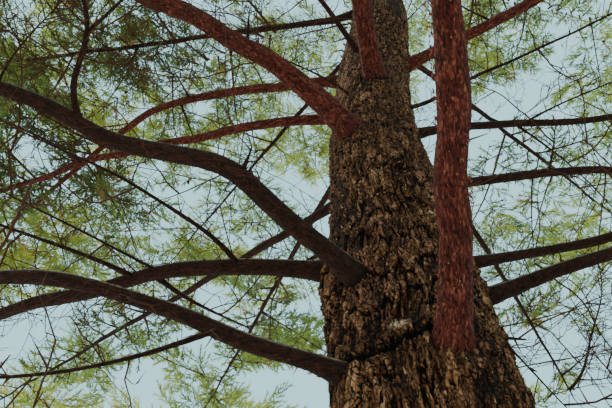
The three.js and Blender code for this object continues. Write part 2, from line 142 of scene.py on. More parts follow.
# First twigs of a mass of needles, by the seeded rule
TWIGS_PER_STEM = 7
TWIG_PLACE_LEAST = 0.35
TWIG_PLACE_SPREAD = 0.4
TWIG_LENGTH = 0.29
TWIG_END_FULLNESS = 0.62
TWIG_FULLEST_SHIFT = 0.15
TWIG_LENGTH_VARIES = 0.15
TWIG_ANGLES = (62, 36)
TWIG_LIFTS = (-10, 30)
TWIG_THICKNESS = 0.6
TWIG_MIN_RADIUS = 0.009
# Needles spread from a twig's end, and from the stem's, in a kite-shaped fan. On a vigorous bough it
# is this long, and this share of it lies beyond the end. Shoots reach its outline: this many times
# their distance from its root, then this many times that to its tip.
FAN_LENGTH = 1.75
FAN_AHEAD = 0.6
FAN_OPENS = 2.4
FAN_CLOSES = 0.66
FULL_VIGOUR_LENGTH = 4.5
LEAST_VIGOUR = 0.72
MIDDLE_SHOOT_EVERY = 2
MIDDLE_SHOOT_SPLAY = 42
MIDDLE_SHOOT_RISE = 28
LIMB_CLEARANCE = 0.045
MASS_CLEARANCE = 0.06

# Seeds of the random draws
SEEDS = {"trunk_shreds": 3, "bough_shreds": 5, "foliage": 7, "tints": 11, "dead_wood": 23}
# Weights of the steady scatter, and where a jittered point lies in its square of a lattice
SCATTER_WEIGHTS = (127.1, 311.7, 74.7)
SCATTER_SCALE = 43758.5453
JITTER = (0.1, 0.9)
# Directions this near to upright take their side from +X, the others from +Z
NEARLY_UPRIGHT = 0.95
NUDGE = 1e-6

EAST = np.array([1.0, 0.0, 0.0])
UP = np.array([0.0, 0.0, 1.0])


def normalised(vectors):
    """Vectors drawn out to a length of one."""
    return vectors / np.linalg.norm(vectors, axis=-1, keepdims=True)


def lerp(a, b, share):
    """Straight blend from a to b."""
    return a + (b - a) * share


def smooth_step(low, high, value):
    """Share that leaves 0 at low and reaches 1 at high with level ends: 3t^2 - 2t^3."""
    t = np.clip((value - low) / (high - low), 0, 1)
    return t * t * (3 - 2 * t)


def bell(*offsets):
    """Bell-shaped share, 1 at the middle: e to the power of less the sum of the offsets' squares."""
    return np.exp(-sum(offset**2 for offset in offsets))


def heading_vector(heading, rise):
    """Unit vector of a heading from +X towards +Y and a rise above level, in radians."""
    return np.stack([np.cos(rise) * np.cos(heading), np.cos(rise) * np.sin(heading), np.sin(rise)], -1)


def square_to(ahead, guide=UP, nudge=0.0):
    """Unit vectors to the side of directions and over them: square to each one and to a guide, then
    square to both. A nudge keeps a direction along its guide from failing."""
    side = normalised(np.cross(ahead, guide) + nudge)
    return side, np.cross(side, ahead)


def steady_guide(ahead):
    """Guide for each direction: +Z, or +X where the direction is nearly upright."""
    return np.where(np.abs(ahead[..., 2:]) > NEARLY_UPRIGHT, EAST, UP)


def swung(a, b, angle):
    """Unit vector swung from a towards b, which is square to it: cos(angle) a + sin(angle) b."""
    return np.cos(angle) * a + np.sin(angle) * b


def trunk_value(values, height):
    """Cubic Hermite curve through one value a station, its slope there that between the neighbours."""
    last = len(TRUNK_HEIGHTS) - 1
    z = np.clip(height, 0, TRUNK_HEIGHT)
    index = np.clip(np.searchsorted(TRUNK_HEIGHTS, z) - 1, 0, last - 1)
    below = np.maximum(np.arange(last + 1) - 1, 0)
    above = np.minimum(np.arange(last + 1) + 1, last)
    slope = (values[above] - values[below]) / (TRUNK_HEIGHTS[above] - TRUNK_HEIGHTS[below])
    span = TRUNK_HEIGHTS[index + 1] - TRUNK_HEIGHTS[index]
    t = (z - TRUNK_HEIGHTS[index]) / span
    return ((2 * t**3 - 3 * t**2 + 1) * values[index] + (t**3 - 2 * t**2 + t) * span * slope[index]
            + (3 * t**2 - 2 * t**3) * values[index + 1] + (t**3 - t**2) * span * slope[index + 1])


def trunk_radius(height, angle):
    """Trunk's radius in one direction: the stations' curve, times waves of buttresses that fade with
    height, plus a bell-shaped swelling under each heavy bough."""
    wave = np.cos(BUTTRESSES * angle + BUTTRESS_TURN) + FOOT_SPREAD * np.cos(2 * angle + FOOT_SPREAD_TURN)
    flare = BUTTRESS_DEPTH * wave * np.exp(-height / BUTTRESS_FADE)
    radius = trunk_value(TRUNK_RADII, height) * (1 + flare)
    for swelling in SWELLINGS:
        heading, wide = np.radians([swelling["heading"], swelling["wide"]])
        turned_away = (np.cos(angle - heading) - 1) / (1 - np.cos(wide))
        risen = (height - swelling["height"]) / swelling["tall"]
        radius = radius + swelling["depth"] * np.exp(turned_away - risen**2)
    return radius


def scattered(*numbers):
    """Steady random share from 0 to 1 for whole numbers: what follows the point of a large sine."""
    total = sum(number * weight for number, weight in zip(numbers, SCATTER_WEIGHTS))
    value = np.sin(total) * SCATTER_SCALE
    return value - np.floor(value)


def noise(x, y, around=0, seed=0):
    """Smooth noise from -1 to 1: random values on a unit lattice, blended by smooth steps. The
    lattice repeats every `around` cells of x, if that isn't 0."""
    column, row = np.floor(x), np.floor(y)
    across, up = smooth_step(0, 1, x - column), smooth_step(0, 1, y - row)

    def corner(right, above):
        place = np.mod(column + right, around) if around else column + right
        return 2 * scattered(place, row + above, seed) - 1

    low = lerp(corner(0, 0), corner(1, 0), across)
    high = lerp(corner(0, 1), corner(1, 1), across)
    return lerp(low, high, up)


def layered_noise(x, y, around=0, seed=0, layers=3):
    """Sum of noises, each twice as fine and half as strong as the one before."""
    return sum(noise(x * 2**i, y * 2**i, around * 2**i, seed + i) / 2**i for i in range(layers))


def cells(x, y, around, seed):
    """Cells round one jittered point in each square of a unit lattice: the distance to the second
    nearest point less that to the nearest, the nearest one's random share, and how far below it
    the place lies."""
    nearest, second = np.full(x.shape, np.inf), np.full(x.shape, np.inf)
    share, below = np.zeros(x.shape), np.zeros(x.shape)
    for right in (-1, 0, 1):
        for above in (-1, 0, 1):
            column, row = np.floor(x) + right, np.floor(y) + above
            wrapped = np.mod(column, around)
            centre_x = column + lerp(*JITTER, scattered(wrapped, row, seed))
            centre_y = row + lerp(*JITTER, scattered(wrapped, row, seed + 1))
            distance = np.hypot(x - centre_x, y - centre_y)
            closer = distance < nearest
            second = np.where(closer, nearest, np.minimum(second, distance))
            share = np.where(closer, scattered(wrapped, row, seed + 2), share)
            below = np.where(closer, centre_y - y, below)
            nearest = np.where(closer, distance, nearest)
    return second - nearest, share, below


class Limb:
    """A limb's course from its named sizes, and its taper."""

    def __init__(self, name, length, diameter, rises, headings, height=None, origin=None, bare=1.0):
        self.name, self.length, self.diameter, self.bare = name, length, diameter, bare
        self.origin = np.array([trunk_value(TRUNK_LEANS, height), 0, height]) if origin is None else origin
        self.buried = trunk_value(TRUNK_RADII, height) if origin is None else 0.0
        self.course = self.course_of(np.unwrap(headings, period=360), rises)
        self.vigour = np.clip(length / FULL_VIGOUR_LENGTH, LEAST_VIGOUR, 1)
        self.leafy_from = max(bare, UPPER_BARE_SHARE)

    def course_of(self, headings, rises):
        """Points at even steps from the origin: each step takes the heading and the rise that hold
        half way along it."""
        step = self.length / COURSE_STEPS
        travelled = (np.arange(COURSE_STEPS) + 0.5) * step
        heading = np.interp(travelled / HEADING_STEP, np.arange(len(headings)), headings)
        rise = np.interp(travelled / self.length * (len(rises) - 1), np.arange(len(rises)), rises)
        moves = step * heading_vector(np.radians(heading), np.radians(rise))
        return self.origin + np.vstack([np.zeros(3), np.cumsum(moves, 0)])

    def point(self, share):
        """Point at a share of the course, along straight lines between its points."""
        place = np.clip(share, 0, 1) * COURSE_STEPS
        return np.stack([np.interp(place, np.arange(COURSE_STEPS + 1), axis) for axis in self.course.T], -1)

    def direction(self, share):
        """Unit vector from half a step before a share of the course to half a step past it."""
        half = 0.5 / COURSE_STEPS
        return normalised(self.point(share + half) - self.point(share - half))

    def radius(self, share):
        """Even taper to a share of the foot's radius, and a collar that swells into what carries it."""
        beyond = np.maximum(share * self.length - self.buried, 0)
        collar = 1 + COLLAR_SWELL * np.exp(-beyond / COLLAR_LENGTH)
        return 0.5 * self.diameter * lerp(1, TIP_SHARE, share) * collar


def ladder(tier):
    """Boughs of the upper crown or its tip, evenly blended from the lowest to the highest."""
    made = []
    for i in range(tier["count"]):
        share = i / (tier["count"] - 1)
        sizes = {key: lerp(*tier[key + "s"], share) for key in ("height", "length", "diameter")}
        sizes["headings"] = [tier["first_heading"] - i * GOLDEN_ANGLE]
        made.append(Limb(f"{tier['kind']}_{i + 1}", rises=tier["rises"], bare=0.0, **sizes))
    return made


LIMBED = [Limb(name, **{"bare": BARE_SHARE, **sizes}) for name, sizes in BOUGHS.items()]
LEAFY = LIMBED + ladder(UPPER_CROWN) + ladder(CROWN_TIP)
DEAD = Limb("dead", **DEAD_LIMB)


# Pieces: shapes are gathered, joined and put into the scene as one mesh

class Parts:
    """Points, faces, kinds of surface and named values of many shapes, gathered to be joined."""

    def __init__(self):
        self.points, self.faces, self.kinds, self.values, self.count = [], [], [], {}, 0

    def add(self, points, faces, kinds=0, **values):
        """Adds points (n, 3) and an array of faces, each of three or four corners."""
        points = np.reshape(points, (-1, 3))
        self.points.append(points)
        self.faces.append(faces + self.count)
        self.kinds.append(np.broadcast_to(kinds, len(faces)))
        for key, value in values.items():
            value = np.reshape(value, (-1, 3)) if np.size(value) == points.size else np.ravel(value)
            self.values.setdefault(key, []).append(np.broadcast_to(value, (len(points), *value.shape[1:])))
        self.count += len(points)
        return self.count - len(points)


def add_piece(name, parts, surfaces, replaced=()):
    """Joins the parts in one mesh at the origin that rides on the root body and stands for CAD nodes."""
    mesh = bpy.data.meshes.new(name)
    points = np.concatenate(parts.points)
    mesh.vertices.add(len(points))
    mesh.vertices.foreach_set("co", points.astype(np.float32).ravel())
    corners = np.concatenate([faces.ravel() for faces in parts.faces])
    sizes = np.concatenate([np.full(len(faces), faces.shape[1]) for faces in parts.faces])
    mesh.loops.add(len(corners))
    mesh.loops.foreach_set("vertex_index", corners.astype(np.int32))
    mesh.polygons.add(len(sizes))
    mesh.polygons.foreach_set("loop_start", (np.cumsum(sizes) - sizes).astype(np.int32))
    for surface in surfaces:
        mesh.materials.append(surface)
    mesh.polygons.foreach_set("material_index", np.concatenate(parts.kinds).astype(np.int32))
    for key, value in parts.values.items():
        value = np.concatenate(value).astype(np.float32)
        kind, field = ("FLOAT", "value") if value.ndim == 1 else ("FLOAT_VECTOR", "vector")
        mesh.attributes.new(key, kind, "POINT").data.foreach_set(field, value.ravel())
    mesh.update(calc_edges=True)
    piece = bpy.data.objects.new(name, mesh)
    bpy.context.scene.collection.objects.link(piece)
    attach(piece, "root")
    if replaced:
        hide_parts(*replaced)


def tube_faces(rings, columns):
    """Quads between the rings of a tube, facing out where these turn clockwise, seen from its end."""
    index = np.arange(rings * columns).reshape(rings, columns)
    beside = np.roll(index, -1, axis=1)
    return np.stack([index[:-1], index[1:], beside[1:], beside[:-1]], -1).reshape(-1, 4)


def cap_faces(columns, first, ahead):
    """Triangles from a ring, whose corners start at a number, to its centre, which is point 0."""
    ring = first + np.arange(columns)
    beside = np.roll(ring, -1)
    middle = np.zeros(columns, int)
    return np.stack([middle, beside, ring] if ahead else [middle, ring, beside], -1)


def add_tube(parts, rings, anticlockwise=False, **values):
    """Adds a closed tube of rings (n, columns, 3): quads between them and a fan across each end. Where
    the rings turn anticlockwise, seen from its end, the faces' corners are taken the other way round."""
    count, columns = rings.shape[:2]
    faces = tube_faces(count, columns)
    order = slice(None, None, -1) if anticlockwise else slice(None)
    first = parts.add(rings, faces[:, order], **values)
    for ring, ahead in ((0, False), (count - 1, True)):
        level = {key: np.reshape(value, (count, columns, -1))[ring].mean(0)
                 for key, value in values.items()}
        corners = first + ring * columns
        fan = cap_faces(columns, corners - parts.count, ahead)
        parts.add(rings[ring].mean(0), fan[:, order], **level)


def tubes(parts, paths, radii, sides, kinds=0):
    """Adds n thin closed tubes at once, round paths (n, k, 3) with radii (n, k). Each ring's corners are
    even turns in the plane across the path, and each end is closed by one face across its ring."""
    n, k = radii.shape
    ahead = normalised(np.gradient(paths, axis=1))
    side, over = square_to(ahead, steady_guide(ahead))
    turn = 2 * np.pi * np.arange(sides)[:, None] / sides
    ring = swung(side[:, :, None], over[:, :, None], turn)
    points = paths[:, :, None] + radii[:, :, None, None] * ring
    one = tube_faces(k, sides)
    base = np.arange(n)[:, None, None] * k * sides
    kinds = np.broadcast_to(kinds, n)
    first = parts.add(points, (one + base).reshape(-1, 4), np.repeat(kinds, len(one)))
    foot = np.arange(sides)
    ends = np.stack([foot, (k * sides - 1 - foot)])
    parts.faces.append(first + (ends + base).reshape(-1, sides))
    parts.kinds.append(np.repeat(kinds, 2))


def slivers(rng, parts, feet, tips, widths, kinds=0):
    """Adds n slim triangles at once, each turned about its length by a draw: two corners half a width
    to each side of the foot, and one at the tip."""
    across = normalised(np.cross(tips - feet, rng.normal(size=feet.shape)))
    half = 0.5 * np.broadcast_to(widths, len(feet))[:, None] * across
    points = np.stack([feet - half, feet + half, tips], 1)
    parts.add(points, np.arange(3 * len(feet)).reshape(-1, 3), kinds)


# Surfaces: each material is a Principled shader, and the nodes that feed it
MOTTLE_SHADE = 0.6
MOTTLE_SCALE = 14

class Value:
    """A socket of a surface's tree. Arithmetic on it adds Math nodes."""

    def __init__(self, surface, socket):
        self.surface, self.socket = surface, socket

    def math(self, operation, a, b):
        return self.surface.node("ShaderNodeMath", {"operation": operation}, {0: a, 1: b})

    def __add__(self, other):
        return self.math("ADD", self, other)

    def __sub__(self, other):
        return self.math("SUBTRACT", self, other)

    def __rsub__(self, other):
        return self.math("SUBTRACT", other, self)

    def __mul__(self, other):
        return self.math("MULTIPLY", self, other)

    def between(self, low, high):
        """Share that leaves 0 at low and reaches 1 at high, with level ends."""
        inputs = {"Value": self, "From Min": low, "From Max": high}
        return self.surface.node("ShaderNodeMapRange", {"interpolation_type": "SMOOTHSTEP"}, inputs)


class Surface:
    """A material with one Principled shader, whose plain values are set on its own sockets."""

    def __init__(self, name, **plain):
        self.material = bpy.data.materials.new(name)
        self.material.use_nodes = True
        self.tree = self.material.node_tree
        self.shader = self.tree.nodes["Principled BSDF"]
        for key, value in plain.items():
            self.shader.inputs[key.replace("_", " ")].default_value = value

    def node(self, kind, settings=None, inputs=None, output=0):
        """Adds a node, sets it up, fills or links its sockets, and gives one of its outputs."""
        made = self.tree.nodes.new(kind)
        for key, value in (settings or {}).items():
            if key == "stops":
                self.set_stops(made.color_ramp, value)
            else:
                setattr(made, key, value)
        for key, value in (inputs or {}).items():
            if isinstance(value, Value):
                self.tree.links.new(value.socket, made.inputs[key])
            else:
                made.inputs[key].default_value = value
        return Value(self, made.outputs[output])

    @staticmethod
    def set_stops(ramp, stops):
        """Gives a ramp its colours, each at a place from 0 to 1, in order. A new ramp has two places."""
        places, colours = zip(*stops)
        for element, place in zip(ramp.elements, places):
            element.position = place
        for place in places[2:]:
            ramp.elements.new(place)
        for element, colour in zip(ramp.elements, colours):
            element.color = colour

    def attribute(self, name, output="Fac"):
        return self.node("ShaderNodeAttribute", {"attribute_name": name}, output=output)

    def object_point(self):
        return self.node("ShaderNodeTexCoord", output="Object")

    def stretched(self, point, stretch):
        return self.node("ShaderNodeMapping", inputs={"Vector": point, "Scale": stretch})

    def warped(self, point, scale, amount):
        """Point moved about by a share of a noise's colour."""
        draw = self.noise(point, scale, output="Color")
        return self.node(
            "ShaderNodeVectorMath", {"operation": "MULTIPLY_ADD"}, {0: draw, 1: (amount,) * 3, 2: point})

    def noise(self, point, scale, detail=2.0, output=0):
        inputs = {"Vector": point, "Scale": scale, "Detail": detail}
        return self.node("ShaderNodeTexNoise", inputs=inputs, output=output)

    def flakes(self, point, scale):
        """One random share for each cell round scattered points, and how far a place is from its edge."""
        inputs = {"Vector": point, "Scale": scale}
        tone = self.node("ShaderNodeTexVoronoi", inputs=inputs, output="Color")
        edge = self.node("ShaderNodeTexVoronoi", {"feature": "DISTANCE_TO_EDGE"}, inputs, output="Distance")
        return tone * 1.0, edge

    def ramp(self, value, *stops):
        return self.node("ShaderNodeValToRGB", {"stops": stops}, {"Fac": value})

    def mix(self, share, a, b):
        """Colour a where the share is 0 and b where it is 1."""
        return self.node("ShaderNodeMix", {"data_type": "RGBA"}, {0: share, 6: a, 7: b}, output=2)

    def bump(self, height, distance):
        inputs = {"Height": height, "Distance": distance, "Strength": 1.0}
        self.feed("Normal", self.node("ShaderNodeBump", inputs=inputs))

    def feed(self, key, value):
        self.tree.links.new(value.socket, self.shader.inputs[key])


def colour_property(name, description, colour):
    return bpy.props.FloatVectorProperty(
        name=name, description=description, default=(*colour, 1.0), size=4, subtype="COLOR", min=0, max=1)


def length_property(name, description, default):
    return bpy.props.FloatProperty(
        name=name, description=description, default=default, subtype="DISTANCE", unit="LENGTH", min=0.0001)


def count_property(name, description, default, least=0):
    return bpy.props.IntProperty(name=name, description=description, default=default, min=least)


def number_property(name, description, default, **limits):
    return bpy.props.FloatProperty(name=name, description=description, default=default, **limits)


def angle_property(name, description, default):
    return number_property(name, description, default, subtype="ANGLE")


def plain_surface(name, colour):
    """Rough bark of thin things, mottled with a darker shade by noise."""
    surface = Surface(name, Roughness=0.9, Specular_IOR_Level=0.25)
    dark = [MOTTLE_SHADE * c for c in colour[:3]] + [1]
    mottle = surface.noise(surface.object_point(), MOTTLE_SCALE)
    surface.feed("Base Color", surface.mix(mottle, dark, colour))
    return surface.material


# The trunk's bark

# The side of the trunk that is most looked at has the finest mesh
FRONT_HEADING = 257
FRONT_CROWDING = 0.45
TRUNK_PIECES = [
    {"name": "trunk_bark_foot", "from": 0.0, "to": 2.4, "rings": 95},
    {"name": "trunk_bark_low", "from": 2.4, "to": 4.2, "rings": 265},
    {"name": "trunk_bark_middle", "from": 4.2, "to": 6.8, "rings": 255},
    {"name": "trunk_bark_high", "from": 6.8, "to": 16.0, "rings": 115},
]
# A fold of bark that runs left from under the front bough's foot, with a pale bare patch over it
FOLD = {"heading": 245, "height": 2.99, "half_width": 36, "sag": 0.05, "depth": 0.016, "tall": 0.014}
PALE_PATCH = {"heading": 252, "height": 3.07, "wide": 0.05, "tall": 0.028}
# Wrinkled bark, pressed together between the feet of two boughs
WRINKLES = {"heading": 243, "height": 5.15, "wide": 28, "tall": 0.3, "step": 0.03, "depth": 0.008}
# Bark heaped up round the feet of the boughs: its height, and how wide its ring and its socket are, as
# shares of the bough's diameter
COLLAR_HEAP = 0.3
COLLAR_RING = 1.05
COLLAR_SOCKET = 0.72
# Healed knots: a rim round a hollow, each this wide as a share of the knot's size, and drawn out upwards
KNOT_RIM = 0.3
KNOT_HOLLOW = 0.55
KNOT_TALL = 1.3
KNOTS = [
    {"heading": 241, "height": 3.61, "size": 0.075, "rim": 0.016, "hollow": 0.012},
    {"heading": 259, "height": 3.21, "size": 0.028, "rim": 0.008, "hollow": 0.05},
    {"heading": 276, "height": 4.15, "size": 0.05, "rim": 0.012, "hollow": 0.02},
    {"heading": 226, "height": 4.3, "size": 0.06, "rim": 0.014, "hollow": 0.02},
    {"heading": 20, "height": 2.1, "size": 0.08, "rim": 0.02, "hollow": 0.02},
    {"heading": 120, "height": 1.6, "size": 0.09, "rim": 0.02, "hollow": 0.03},
]
# Between these heights the plates' depth falls from its first share to its second
SHALLOWER_BETWEEN = (3.5, 4.4)
PLATE_DEPTHS = (0.9, 0.45)
# Seeds of the layers of noise that the bark is made of
LAYERS = {"wander": 11, "drift": 21, "plates": 31, "fray": 41, "sheets": 51, "sheet_tones": 61,
          "wrinkles": 61, "lumps": 71, "ridges": 81, "strips": 91}
# Shreds of bark on the trunk
SHRED_HEIGHTS = (1.2, 8.7)
SHRED_LEANS = (10, 50)
SHRED_LENGTHS = (0.008, 0.03)
SHRED_WIDTHS = (0.004, 0.014)
SHREDS_DOWNWARDS = 0.6


class PineTrunkSettings(bpy.types.PropertyGroup):
    """Sizes and colours of the trunk's bark."""

    columns: count_property("Columns", "Mesh columns once round the trunk", 300, 24)
    plates: count_property("Plates", "Plates of bark once round the trunk", 46, 6)
    stretch: number_property("Stretch", "Height of a plate over its width", 4.0, min=0.5)
    depth: number_property("Depth", "Depth of the fissures as a share of the trunk's radius", 0.056,
                           min=0, max=0.2, subtype="FACTOR")
    shreds: count_property("Shreds", "Loose shreds of bark that stand out", 9000)
    plate_colour: colour_property("Plates", "Colour of weathered plates", (0.225, 0.075, 0.025))
    pale_colour: colour_property("Pale plates", "Colour of freshly split plates", (0.70, 0.33, 0.155))
    pink_colour: colour_property("Pink plates", "Colour of the flushes on some plates", (0.42, 0.15, 0.085))
    dark_colour: colour_property("Dark plates", "Colour of old shaded plates", (0.036, 0.011, 0.004))
    bare_colour: colour_property("Bare patch", "Colour of the pale bare patch", (0.72, 0.42, 0.25))
    # Painted shade in part: fissures go near black, partly the bark's own dark and partly shade; the fold
    # and wrinkle troughs wholly as painted shade
    fissure_and_painted_shade_colour: colour_property("Fissures", "Colour between the plates", (0.004, 0.002, 0.0013))


def turn_from(angle, heading):
    """Signed turn from a heading in degrees to an angle, in radians from -pi to pi."""
    return np.mod(angle - np.radians(heading) + np.pi, 2 * np.pi) - np.pi


def climb(height):
    """Height counted in trunk radii: the sum of each short step over the radius there."""
    levels = np.linspace(0, TRUNK_HEIGHT, 801)
    steps = np.diff(levels) / trunk_value(TRUNK_RADII, 0.5 * (levels[1:] + levels[:-1]))
    return np.interp(height, levels, np.concatenate([[0], np.cumsum(steps)]))


def collars(height, angle):
    """Bark heaped up round the foot of each bough, in a ring about as wide as the bough, with a socket
    at its middle, where its course leaves the trunk."""
    heap = np.zeros(height.shape)
    for limb in LIMBED + [DEAD]:
        foot = limb.point(limb.buried / limb.length)
        heading = np.degrees(np.arctan2(foot[1], foot[0] - trunk_value(TRUNK_LEANS, foot[2])))
        across = turn_from(angle, heading) * limb.buried
        distance = np.hypot(across, height - foot[2]) / limb.diameter
        ring = bell(distance / COLLAR_RING) - bell((distance / COLLAR_SOCKET) ** 2)
        heap += COLLAR_HEAP * limb.diameter * ring
    return heap


def knot_marks(height, angle, base):
    """Relief of the knots: a rim at each one's size, and a hollow within it."""
    relief = np.zeros(height.shape)
    for knot in KNOTS:
        across = turn_from(angle, knot["heading"]) * base
        distance = np.hypot(across, (height - knot["height"]) / KNOT_TALL) / knot["size"]
        relief += knot["rim"] * bell((distance - 1) / KNOT_RIM)
        relief -= knot["hollow"] * bell(distance / KNOT_HOLLOW)
    return relief


def fold_marks(height, angle, wander):
    """How far places are down in the fold (0 to 1), and how far up on the ledge above it."""
    turned_away = turn_from(angle, FOLD["heading"]) / np.radians(FOLD["half_width"])
    above = (height - FOLD["height"] - FOLD["sag"] * turned_away**2 - 0.012 * wander) / FOLD["tall"]
    within = smooth_step(1.15, 0.8, np.abs(turned_away))
    return within * bell(above), within * bell((above - 2.2) / 1.6)


def trunk_bark(settings, height, angle):
    """Relief in metres of the bark at heights and angles, with how far each place is drawn dark (0 to 1),
    its plate's tone (0 to 1), and how bare and pale it is (0 to 1). The dark lies in the fissures, the
    furrows and the flakes' steps, partly the bark's own dark and partly painted shade, and in the fold
    and the wrinkles' troughs, where it is painted shade. Plates are cells of a lattice stretched upwards
    and warped by noise, with frayed edges. They are flat on top, fall to the fissures between them, and
    lift at their lower edges like shingles. They are layered with sheets, which are the level steps of a
    noise, and some neighbours are joined."""
    base = trunk_value(TRUNK_RADII, height)
    plates = settings.plates
    x = angle / (2 * np.pi) * plates
    y = climb(height) / (2 * np.pi) * plates / settings.stretch
    wander = layered_noise(x / 4, y / 2, plates // 4, LAYERS["wander"])
    drift = layered_noise(x / 4, y / 2, plates // 4, LAYERS["drift"])
    fray = layered_noise(2 * x, 2 * y, 2 * plates, LAYERS["fray"])
    border, tone, below = cells(
        x + 1.2 * wander + 0.25 * fray, y + 0.5 * drift + 0.15 * fray, plates, LAYERS["plates"])
    joined = smooth_step(0.1, 0.55, drift + 0.4 * wander)
    top = lerp(smooth_step(0.0, 0.13, border), 1, 0.7 * joined)
    sheets = 2.8 * layered_noise(2 * x + 2 * wander, 2 * y + drift, 2 * plates, LAYERS["sheets"])
    sheet = np.floor(sheets)
    flake = smooth_step(0.0, 0.22, sheets - sheet)
    flake_tone = scattered(sheet, np.floor(x / 2 + wander), LAYERS["sheet_tones"])
    strips = layered_noise(4 * x + 3 * wander, 2 * y, 4 * plates, LAYERS["strips"])
    ridges = layered_noise(x / 2 + wander, y / 6, plates // 2, LAYERS["ridges"])
    furrow = smooth_step(-0.2, -0.8, ridges)
    fold, ledge = fold_marks(height, angle, wander)
    wrinkled = bell(turn_from(angle, WRINKLES["heading"]) / np.radians(WRINKLES["wide"]),
                    (height - WRINKLES["height"]) / WRINKLES["tall"])
    wrinkles = noise(
        x / 2 + wander, height / WRINKLES["step"] + drift, plates // 2, LAYERS["wrinkles"])
    patch = bell(turn_from(angle, PALE_PATCH["heading"]) * base / PALE_PATCH["wide"],
                 (height - PALE_PATCH["height"]) / PALE_PATCH["tall"])
    depth = settings.depth * base
    lumps = 0.03 * base * layered_noise(3 * angle / np.pi, height / 0.7, 6, LAYERS["lumps"])
    plate = top - 1 + top * (0.6 * (tone - 0.5) + 0.6 * below) - 0.5 * furrow
    layer = top * (sheet + flake)
    plate_depth = lerp(*PLATE_DEPTHS, smooth_step(*SHALLOWER_BETWEEN, height))
    relief = depth * (plate_depth * plate + 0.2 * layer + 0.16 * strips)
    relief += FOLD["depth"] * (0.6 * ledge - fold) + WRINKLES["depth"] * wrinkled * wrinkles
    relief += lumps + collars(height, angle) + knot_marks(height, angle, base)
    # Painted shade: the fold and the wrinkles' troughs are drawn dark; the fissures, furrows and flakes'
    # steps are drawn dark partly for the bark's own dark and partly as painted shade
    crack = np.maximum(np.maximum(1 - top, 0.35 * furrow), 0.8 * (1 - flake) - 0.3 * strips) * (1 - patch)
    crack = np.clip(np.maximum(crack, fold) + 0.5 * wrinkled * np.clip(-wrinkles, 0, 1), 0, 1)
    tone = 0.5 + 0.5 * (tone - 0.5) + 0.4 * (flake_tone - 0.5) + 0.1 * sheet + 0.2 * ridges + 0.25 * strips
    return relief, crack, np.clip(tone + 0.35 * wrinkled * wrinkles, 0, 1), patch


def trunk_points(height, angle, relief):
    """Points on the trunk: lean plus radius and relief along each angle."""
    radius = trunk_radius(height, angle) + relief
    lean = trunk_value(TRUNK_LEANS, height)
    return np.stack([lean + radius * np.cos(angle), radius * np.sin(angle), height], -1)


def trunk_rings(settings, low, high, count):
    """Rings of the trunk from one height to another. Columns crowd towards the front, where the angle
    is the even turn less a share of its sine."""
    even = 2 * np.pi * np.arange(settings.columns) / settings.columns
    around = np.radians(FRONT_HEADING) + even - FRONT_CROWDING * np.sin(even)
    height, angle = np.meshgrid(np.linspace(low, high, count), around, indexing="ij")
    relief, crack, tone, bare = trunk_bark(settings, height, angle)
    return trunk_points(height, angle, relief), {"crack": crack, "tone": tone, "bare": bare}


def trunk_surface(settings):
    """Flakes of many tones on each plate under a grain drawn out upwards, flushed pink here and there,
    near black in the fissures and along the flakes' edges, partly the bark's own dark and partly painted
    shade, and near black in the fold and the wrinkles' troughs as painted shade."""
    surface = Surface("Trunk bark", Roughness=0.92, Specular_IOR_Level=0.2)
    point = surface.warped(surface.stretched(surface.object_point(), (1, 1, 0.55)), 18, 0.08)
    grain = surface.noise(point, 90, 5)
    flake, edge = surface.flakes(point, 48)
    tone = surface.attribute("tone") * 0.6 + flake * 0.35 + grain * 1.5 - 0.8
    plates = surface.ramp(
        tone, (0.05, settings.dark_colour), (0.5, settings.plate_colour), (1.0, settings.pale_colour))
    flush = surface.noise(point, 5, 3).between(0.5, 0.66) * tone.between(0.2, 0.6) * 0.75
    flushed = surface.mix(flush, plates, settings.pink_colour)
    bare = surface.mix(surface.attribute("bare").between(0.35, 0.8), flushed, settings.bare_colour)
    # Painted shade in part: fissures, flakes' edges, the fold and wrinkle troughs go near black
    edges = (1.0 - edge.between(0.0, 0.16)) * 0.6
    gap_and_painted_shade = (surface.attribute("crack") + edges + grain * 1.0 - 0.53).between(0.1, 0.75)
    surface.feed("Base Color", surface.mix(gap_and_painted_shade, bare, settings.fissure_and_painted_shade_colour))
    surface.bump(edge.between(0.0, 0.25) * 0.5 + flake * 0.5 + grain * 1.2, 0.009)
    return surface.material


class PINE_OT_trunk(bpy.types.Operator):
    """Dresses the trunk in plates of bark, and sets loose shreds on them"""

    bl_idname = "pine.trunk"
    bl_label = "Trunk bark"

    def execute(self, context):
        settings = context.scene.pine_trunk
        surface = trunk_surface(settings)
        for part in TRUNK_PIECES:
            parts = Parts()
            points, values = trunk_rings(settings, part["from"], part["to"], part["rings"])
            add_tube(parts, points, anticlockwise=True, **values)
            add_piece(part["name"], parts, [surface], ["trunk"])
        self.shred(settings)
        return {"FINISHED"}

    @staticmethod
    def shred(settings):
        """Shreds leave the bark upwards or downwards, leaning out, more of them low down."""
        rng = np.random.default_rng(SEEDS["trunk_shreds"])
        count = settings.shreds
        height = lerp(*SHRED_HEIGHTS, rng.random(count) ** 1.2)
        angle = rng.uniform(0, 2 * np.pi, count)
        feet = trunk_points(height, angle, trunk_bark(settings, height, angle)[0] - 0.001)
        lean = np.radians(rng.uniform(*SHRED_LEANS, count))[:, None]
        hand = np.where(rng.random(count) < SHREDS_DOWNWARDS, -1, 1)[:, None]
        sideways = angle + rng.normal(0, 0.5, count)
        out = swung(hand * UP, heading_vector(sideways, 0 * sideways), lean)
        tips = feet + rng.uniform(*SHRED_LENGTHS, count)[:, None] * out
        parts = Parts()
        slivers(rng, parts, feet, tips, rng.uniform(*SHRED_WIDTHS, count), rng.integers(0, 3, count))
        colours = {"Dark shreds": settings.dark_colour, "Brown shreds": settings.plate_colour,
                   "Pale shreds": settings.pale_colour}
        add_piece("trunk_shreds", parts, [plain_surface(*row) for row in colours.items()])


# The boughs' bark

